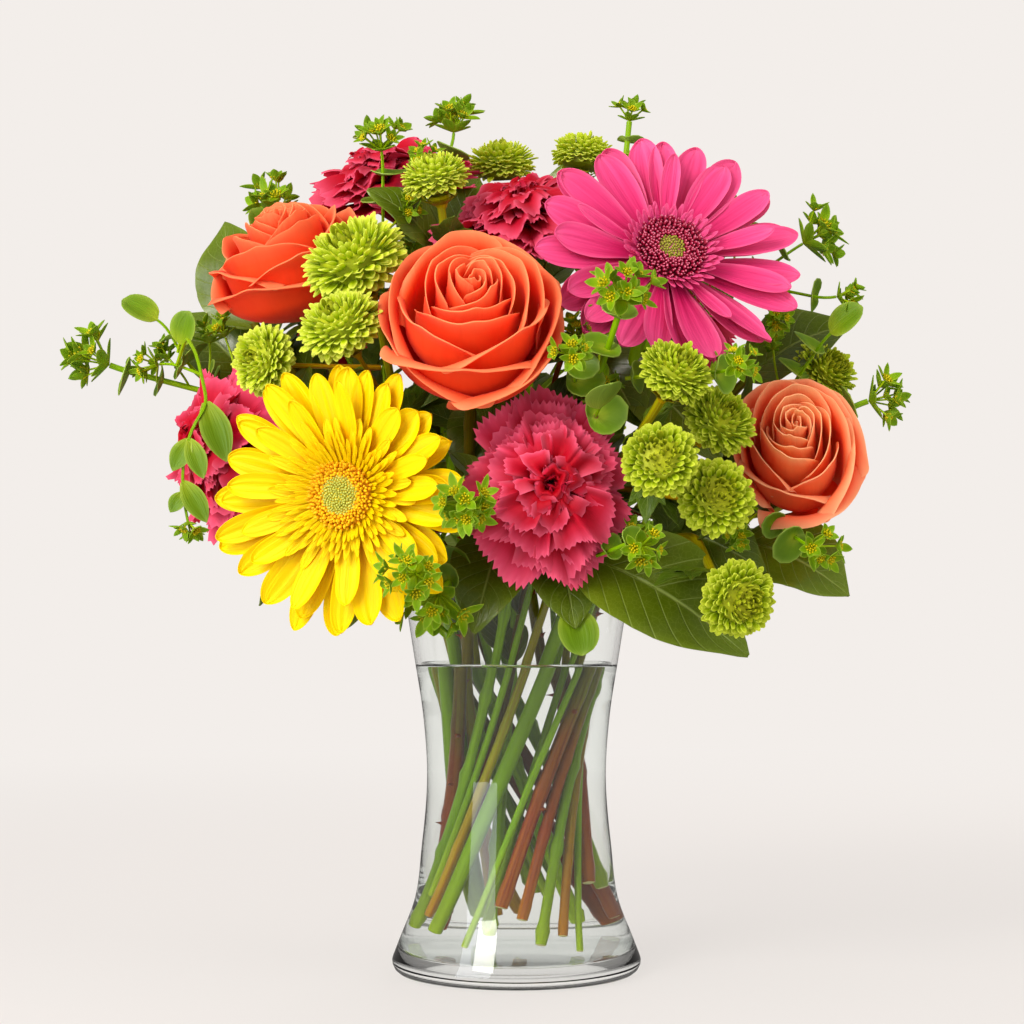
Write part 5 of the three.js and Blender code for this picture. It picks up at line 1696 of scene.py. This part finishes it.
@dataclass
class LeafyStem(Stem):
    """A woody stem of broad glossy leaves."""

    leaves: list[Leaf]

    def build(self) -> None:
        """Makes the stem and its leaves."""
        self.grow(self.name, "leaf", self.leaves)
        for leaf in self.leaves:
            self.blade(leaf)
        for leaf in FILLERS.get(self.name, []):
            stalk = bent(self.nearest(leaf.base, FILLERS_ABOVE), leaf.base, leaf.way, 8)
            self.tissue.tube(stalk, np.linspace(1.3, 1.0, 8), 8, self.draw.uniform(), 1)
            self.blade(leaf)
        for path in self.paths:
            for place, way in along_stem(path, 194, 18, 20)[:5]:
                length = self.draw.uniform(34, 50)
                out = self.clear_way(place, way, length)
                root, tip, faces = place + out * 2, place + out * length, UP + 0.3 * way
                self.blade(Leaf(tuple(root), tuple(tip), tuple(faces), length * 0.62))
        finishes = ("broad_glossy_leaf", "brown_twig", "cut_end")
        self.tissue.make(f"{self.name}_stems", finishes, (self.name,), "glossy_leaf")

    def blade(self, leaf: Leaf) -> None:
        """Adds one broad leaf, folded a little along its midrib, with a rod along that midrib."""
        across, along = np.linspace(-1, 1, 17), np.linspace(0, 1, 27)[:, None]
        length = np.linalg.norm(np.subtract(leaf.tip, leaf.root))
        side = unit(np.cross(leaf.way, leaf.faces))
        normal = np.cross(side, leaf.way)
        phase = self.draw.uniform(0, TURN)
        swell = np.maximum(np.sin(np.pi * np.minimum(along * 0.98 + 0.02, 1) ** 0.8), 0) ** 0.8
        half = leaf.width / 2 * mix(0.03, 1, swell) * mix(1, 0.86, ease(along, 0.75, 1))
        margin = 0.9 * np.sin(along * 13 + phase + across) * across**2
        quilt = -0.35 * np.abs(np.sin(np.pi * (along * VEIN_PAIRS - VEIN_SLANT * np.abs(across)))) ** 6
        rise = 0.22 * np.abs(across) * half + 0.1 * length * np.sin(np.pi * along) + margin + quilt * swell
        ahead = (along * length - 1.5) * np.ones(len(across))
        grid = (leaf.base + ahead[..., None] * leaf.way + (half * across)[..., None] * side
                + rise[..., None] * normal)
        self.tissue.blades(grid[None], self.tones(1), 0.7)
        bow = 0.1 * length * np.sin(np.pi * along * 0.94) - 0.3
        rib = leaf.base + leaf.way * (along * length * 0.94 - 1.5) + normal * bow
        self.tissue.tube(rib, mix(0.9, 0.25, along[:, 0]), 6, 0.3, 0)


def bent(start: Array, end: Array, way: Array, count: int) -> Array:
    """A short curve that leaves one place and comes to another in a given direction.

    Args:
        start: its first point.
        end: its last point.
        way: the way it runs at its end.
        count: how many points it has.

    Returns:
        The points.
    """
    share = np.linspace(0, 1, count)[:, None]
    pull = end - way * np.linalg.norm(end - start) * 0.5
    return (1 - share) ** 2 * start + 2 * share * (1 - share) * pull + share**2 * end


# ---- Vase and water --------------------------------------


@dataclass
class Vase:
    """The waisted glass vase, by the radii and heights of its outside, and the water in it."""

    outline: tuple[tuple[float, float], ...] = (
        (55.4, 6), (51.5, 16), (46, 30), (42.3, 56), (40, 88), (41.6, 112), (46.2, 142), (52.2, 179.2),
    )
    foot: float = 50.0
    wall: float = 2.5
    heel: float = 4.5
    heel_height: float = 28.0
    floor: float = 7.5
    rim: float = 180.0
    water_level: float = 136.0
    sides: int = 128

    def outer(self, height: Array) -> Array:
        """Returns the outer radius at a height, on a smooth line through the outline."""
        radii, heights = np.array(self.outline).T
        slopes = np.gradient(radii, heights)
        number = np.clip(np.searchsorted(heights, height) - 1, 0, len(heights) - 2)
        step = heights[number + 1] - heights[number]
        share = np.clip((height - heights[number]) / step, 0, 1)
        low, high = radii[number], radii[number + 1]
        pull = share * (1 - share) * step * ((1 - share) * slopes[number] - share * slopes[number + 1])
        return mix(low, high, share * share * (3 - 2 * share)) + pull

    def inner(self, height: Array) -> Array:
        """Returns the inner radius at a height, with the glass thicker near the floor."""
        share = np.maximum(0, 1 - (height - self.floor) / self.heel_height)
        return self.outer(height) - self.wall - self.heel * share * share

    def build(self) -> None:
        """Makes the glass and the water."""
        heights = np.linspace(7, self.rim - 1, 60)
        side = list(zip(self.outer(heights), heights))
        foot = [(self.foot - 1.5, 0.0), (self.foot, 0.0), (self.foot + 2.6, 0.5), (54.2, 1.8), (55.2, 3.8),
                (55.4, 5.6)]
        lip = self.inner(np.array(self.rim - 1.0))
        rim = [(lip + 2.3, self.rim - 0.3), (lip + 1.7, self.rim), (lip + 0.8, self.rim),
               (lip + 0.2, self.rim - 0.3)]
        inside_heights = np.linspace(self.rim - 1, self.floor + 2.2, 60)
        inside = list(zip(self.inner(inside_heights), inside_heights))
        bottom = self.inner(np.array(self.floor + 2.2))
        floor = [(bottom - 0.7, self.floor + 0.9), (bottom - 2.2, self.floor + 0.2), (bottom - 4, self.floor)]
        glass = Tissue()
        glass.turned(foot + side + rim + inside + floor, self.sides)
        glass.make("vase_glass", ("clear_vase_glass",), ("vase",), "vase_glass", 40)

        wet = np.linspace(self.floor + 2.2, self.water_level, 50)
        edge = self.inner(np.array(self.water_level))
        skin = [(edge + 0.12, self.water_level + 1.3), (edge - 0.9, self.water_level + 0.5),
                (edge - 2.2, self.water_level + 0.1), (edge - 4, self.water_level)]
        body = [(bottom - 3.9, self.floor - 0.1), (bottom - 0.6, self.floor + 0.8)]
        body += list(zip(self.inner(wet) + 0.12, wet))
        water = Tissue()
        water.turned(body + skin, self.sides)
        water.make("water_body", ("still_water",), ("water",), "water", 40)


# ---- Studio ----------------------------------------------


@dataclass(frozen=True)
class SoftLight:
    """A large soft light that looks at a point."""

    name: str
    place: Place
    size: tuple[float, float]
    power: float
    colour: Colour = (255, 255, 255)
    aim: Place = (0.0, 0.0, 0.2)
    mirrored: bool = True

    def build(self) -> None:
        """Makes the light."""
        light = bpy.data.lights.new(self.name, "AREA")
        light.shape = "RECTANGLE"
        light.size, light.size_y = self.size
        light.energy = self.power
        light.color = paint(self.colour)[:3]
        lamp = bpy.data.objects.new(self.name, light)
        lamp.location = self.place
        way = np.subtract(self.aim, self.place)
        tilt = math.atan2(math.hypot(way[0], way[1]), -way[2])
        lamp.rotation_euler = (tilt, 0, math.atan2(-way[0], way[1]))
        lamp.visible_glossy = self.mirrored
        lamp.visible_transmission = False
        bpy.context.scene.collection.objects.link(lamp)


@dataclass(frozen=True)
class Studio:
    """Pale floor, soft light and the camera.

    The backdrop is brighter towards its bright side, by the sky's range. Mirrored and inside are how
    bright it looks in reflections on the object and inside its glass.
    """

    backdrop: Colour = (243, 238, 234)
    lens: float = 75.0
    camera_place: Place = (-0.002, -0.96, 0.162)
    camera_pitch: float = 2.55
    bright_side: Place = (-0.45, -0.55, 0.7)
    sky_range: tuple[float, float] = (0.35, 1.35)
    mirrored: float = 0.2
    inside: float = 0.84

    def sky(self) -> bpy.types.World:
        """Returns a world that looks like the plain backdrop and lights from the upper left."""
        recipe = Recipe(bpy.data.worlds.new("studio"))
        inputs = {0: recipe.node("TexCoord").outputs["Generated"], 1: unit(np.array(self.bright_side))}
        toward = recipe.node("VectorMath", inputs, operation="DOT_PRODUCT").outputs["Value"]
        soft = recipe.between(toward, -1.0, 1.0, *self.sky_range)
        path = recipe.node("LightPath").outputs
        through = recipe.choice(path["Glossy Depth"], 1.0, self.inside)
        seen = recipe.choice(path["Is Glossy Ray"], 1.0, self.mirrored)
        seen = recipe.choice(path["Is Transmission Ray"], seen, through)
        seen = recipe.choice(path["Diffuse Depth"], seen, soft)
        glow = recipe.node("Background", {"Color": paint(self.backdrop), "Strength": seen})
        return recipe.done(glow, "OutputWorld")

    def floor(self) -> Material:
        """Returns a floor that takes a soft shadow and fades into the backdrop."""
        recipe = Recipe(bpy.data.materials.new("pale_floor"))
        body = recipe.node("BsdfPrincipled", {
            "Base Color": paint((120, 117, 115)), "Roughness": 0.7, "Specular IOR Level": 0.1,
            "Emission Color": paint(self.backdrop), "Emission Strength": 0.66,
        })
        glow = recipe.node("Emission", {"Color": paint(self.backdrop)})
        away = recipe.node("VectorMath", {0: recipe.node("TexCoord").outputs["Object"]}, operation="LENGTH")
        far = {0: away.outputs["Value"], 1: 0.3, 2: 1.5}
        fade = recipe.node("MapRange", far, interpolation_type="SMOOTHSTEP")
        seen = recipe.node("MixShader", {0: fade.outputs[0], 1: body.outputs[0], 2: glow.outputs[0]})
        path = recipe.node("LightPath").outputs
        more = self.inside - self.mirrored
        share = recipe.sum("MULTIPLY_ADD", path["Is Transmission Ray"], more, self.mirrored)
        dim = recipe.node("Emission", {"Color": paint(self.backdrop), "Strength": share})
        mirrored = recipe.sum("MINIMUM", path["Glossy Depth"], 1.0)
        return recipe.done(recipe.node("MixShader", {0: mirrored, 1: seen.outputs[0], 2: dim.outputs[0]}))

    def build(self) -> None:
        """Makes the studio."""
        scene = bpy.context.scene
        scene.view_settings.view_transform = "Standard"
        scene.world = self.sky()

        ring = 4.0 * spokes(even(64)) - 0.0004 * UP
        mesh = bpy.data.meshes.new("floor")
        mesh.from_pydata(ring.tolist(), [], [list(range(64))])
        mesh.materials.append(self.floor())
        floor = bpy.data.objects.new("floor", mesh)
        scene.collection.objects.link(floor)

        for light in (
            SoftLight("key", (-0.75, -1.15, 1.05), (0.55, 0.6), 17.0, (255, 251, 244)),
            SoftLight("strip", (-0.72, -0.85, 0.34), (0.66, 0.74), 8.0, (240, 246, 255)),
            SoftLight("fill", (1.2, -0.7, 0.6), (0.8, 0.9), 6.0, mirrored=False),
            SoftLight("back", (0.5, 1.3, 0.95), (0.9, 0.7), 8.0, mirrored=False),
        ):
            light.build()

        camera = bpy.data.cameras.new("camera")
        camera.lens = self.lens
        camera.sensor_width = 36.0
        holder = bpy.data.objects.new("camera", camera)
        holder.location = self.camera_place
        holder.rotation_euler = (math.pi / 2 + math.radians(self.camera_pitch), 0, 0)
        scene.collection.objects.link(holder)
        scene.camera = holder


SEEDS = {"bloom stems": 40, "button stems": 60, "sprays": 80, "leafy stems": 100}
YELLOW_ROWS = (RayRow(21, 1.0, 0.235, 1.4, 4, 4), RayRow(19, 0.96, 0.22, 2.8, 8, 5),
               RayRow(13, 0.83, 0.18, 4.2, 11, 5), RayRow(24, 0.6, 0.085, 5.2, 9, 6),
               RayRow(36, 0.49, 0.046, 6.0, 8, 3), RayRow(44, 0.41, 0.034, 6.5, 6, 1),
               RayRow(46, 0.34, 0.03, 6.9, 5, 0))
PINK_ROWS = (RayRow(17, 1.0, 0.27, 1.4, 6, 4), RayRow(13, 0.95, 0.25, 3.0, 10, 5),
             RayRow(5, 0.74, 0.13, 4.6, 14, 5), RayRow(34, 0.37, 0.045, 6.0, 7, 1),
             RayRow(36, 0.32, 0.038, 6.6, 6, 0))


def main() -> None:
    """Builds the bouquet, its vase and the studio."""
    Vase().build()
    Gerbera("gerbera_yellow", 21, BLOOMS["gerbera_yellow"], YELLOW_ROWS, "yellow_ray_petal", "green_disc_bud",
            "golden_disc_floret", 0.22, 0.62, (-5.0, 0.0)).build()
    Gerbera("gerbera_pink", 22, BLOOMS["gerbera_pink"], PINK_ROWS, "pink_ray_petal", "olive_disc_bud",
            "wine_disc_floret", 0.23, 0.42, (2.0, 2.6)).build()
    for number, (name, head) in enumerate(BLOOMS.items()):
        if head.kind is Kind.ROSE:
            # The right rose wears the lighter finish: its own peachier tone, and painted light for the shade
            # it stands in.
            petal = "peach_rose_petal_with_painted_light" if name == "rose_right" else "coral_rose_petal"
            Rose(name, number + 1, head, petal).build()
        if head.kind is Kind.CARNATION:
            Carnation(name, number + 1, head).build()
        BloomStem(name, SEEDS["bloom stems"] + number, head).build()
    for row, (place, heads) in enumerate(BUTTONS.items()):
        for number, head in enumerate(heads):
            eye_share = 0.13 if place == "front" and number > 1 or place == "right" else 0.05
            # The buttons at the left and top wear the lighter lime copy: painted light.
            floret = "lime_floret_with_painted_light" if place in ("left", "top") else "lime_button_floret"
            Button(f"pom_{place}_{number + 1}", 10 * row + number, head, floret, eye_share).build()
        ButtonStem(f"pom_stem_{place}", SEEDS["button stems"] + row, heads).build()
    for number, (place, heads) in enumerate(SPRAYS.items()):
        BupleurumSpray(f"bupleurum_{place}", SEEDS["sprays"] + number, heads).build()
    for number, (place, leaves) in enumerate(LEAVES.items()):
        LeafyStem(f"leaves_{place}", SEEDS["leafy stems"] + number, leaves).build()
    Studio().build()


if __name__ == "__main__":
    logging.basicConfig(level=logging.INFO, format="%(name)s: %(message)s")
    main()
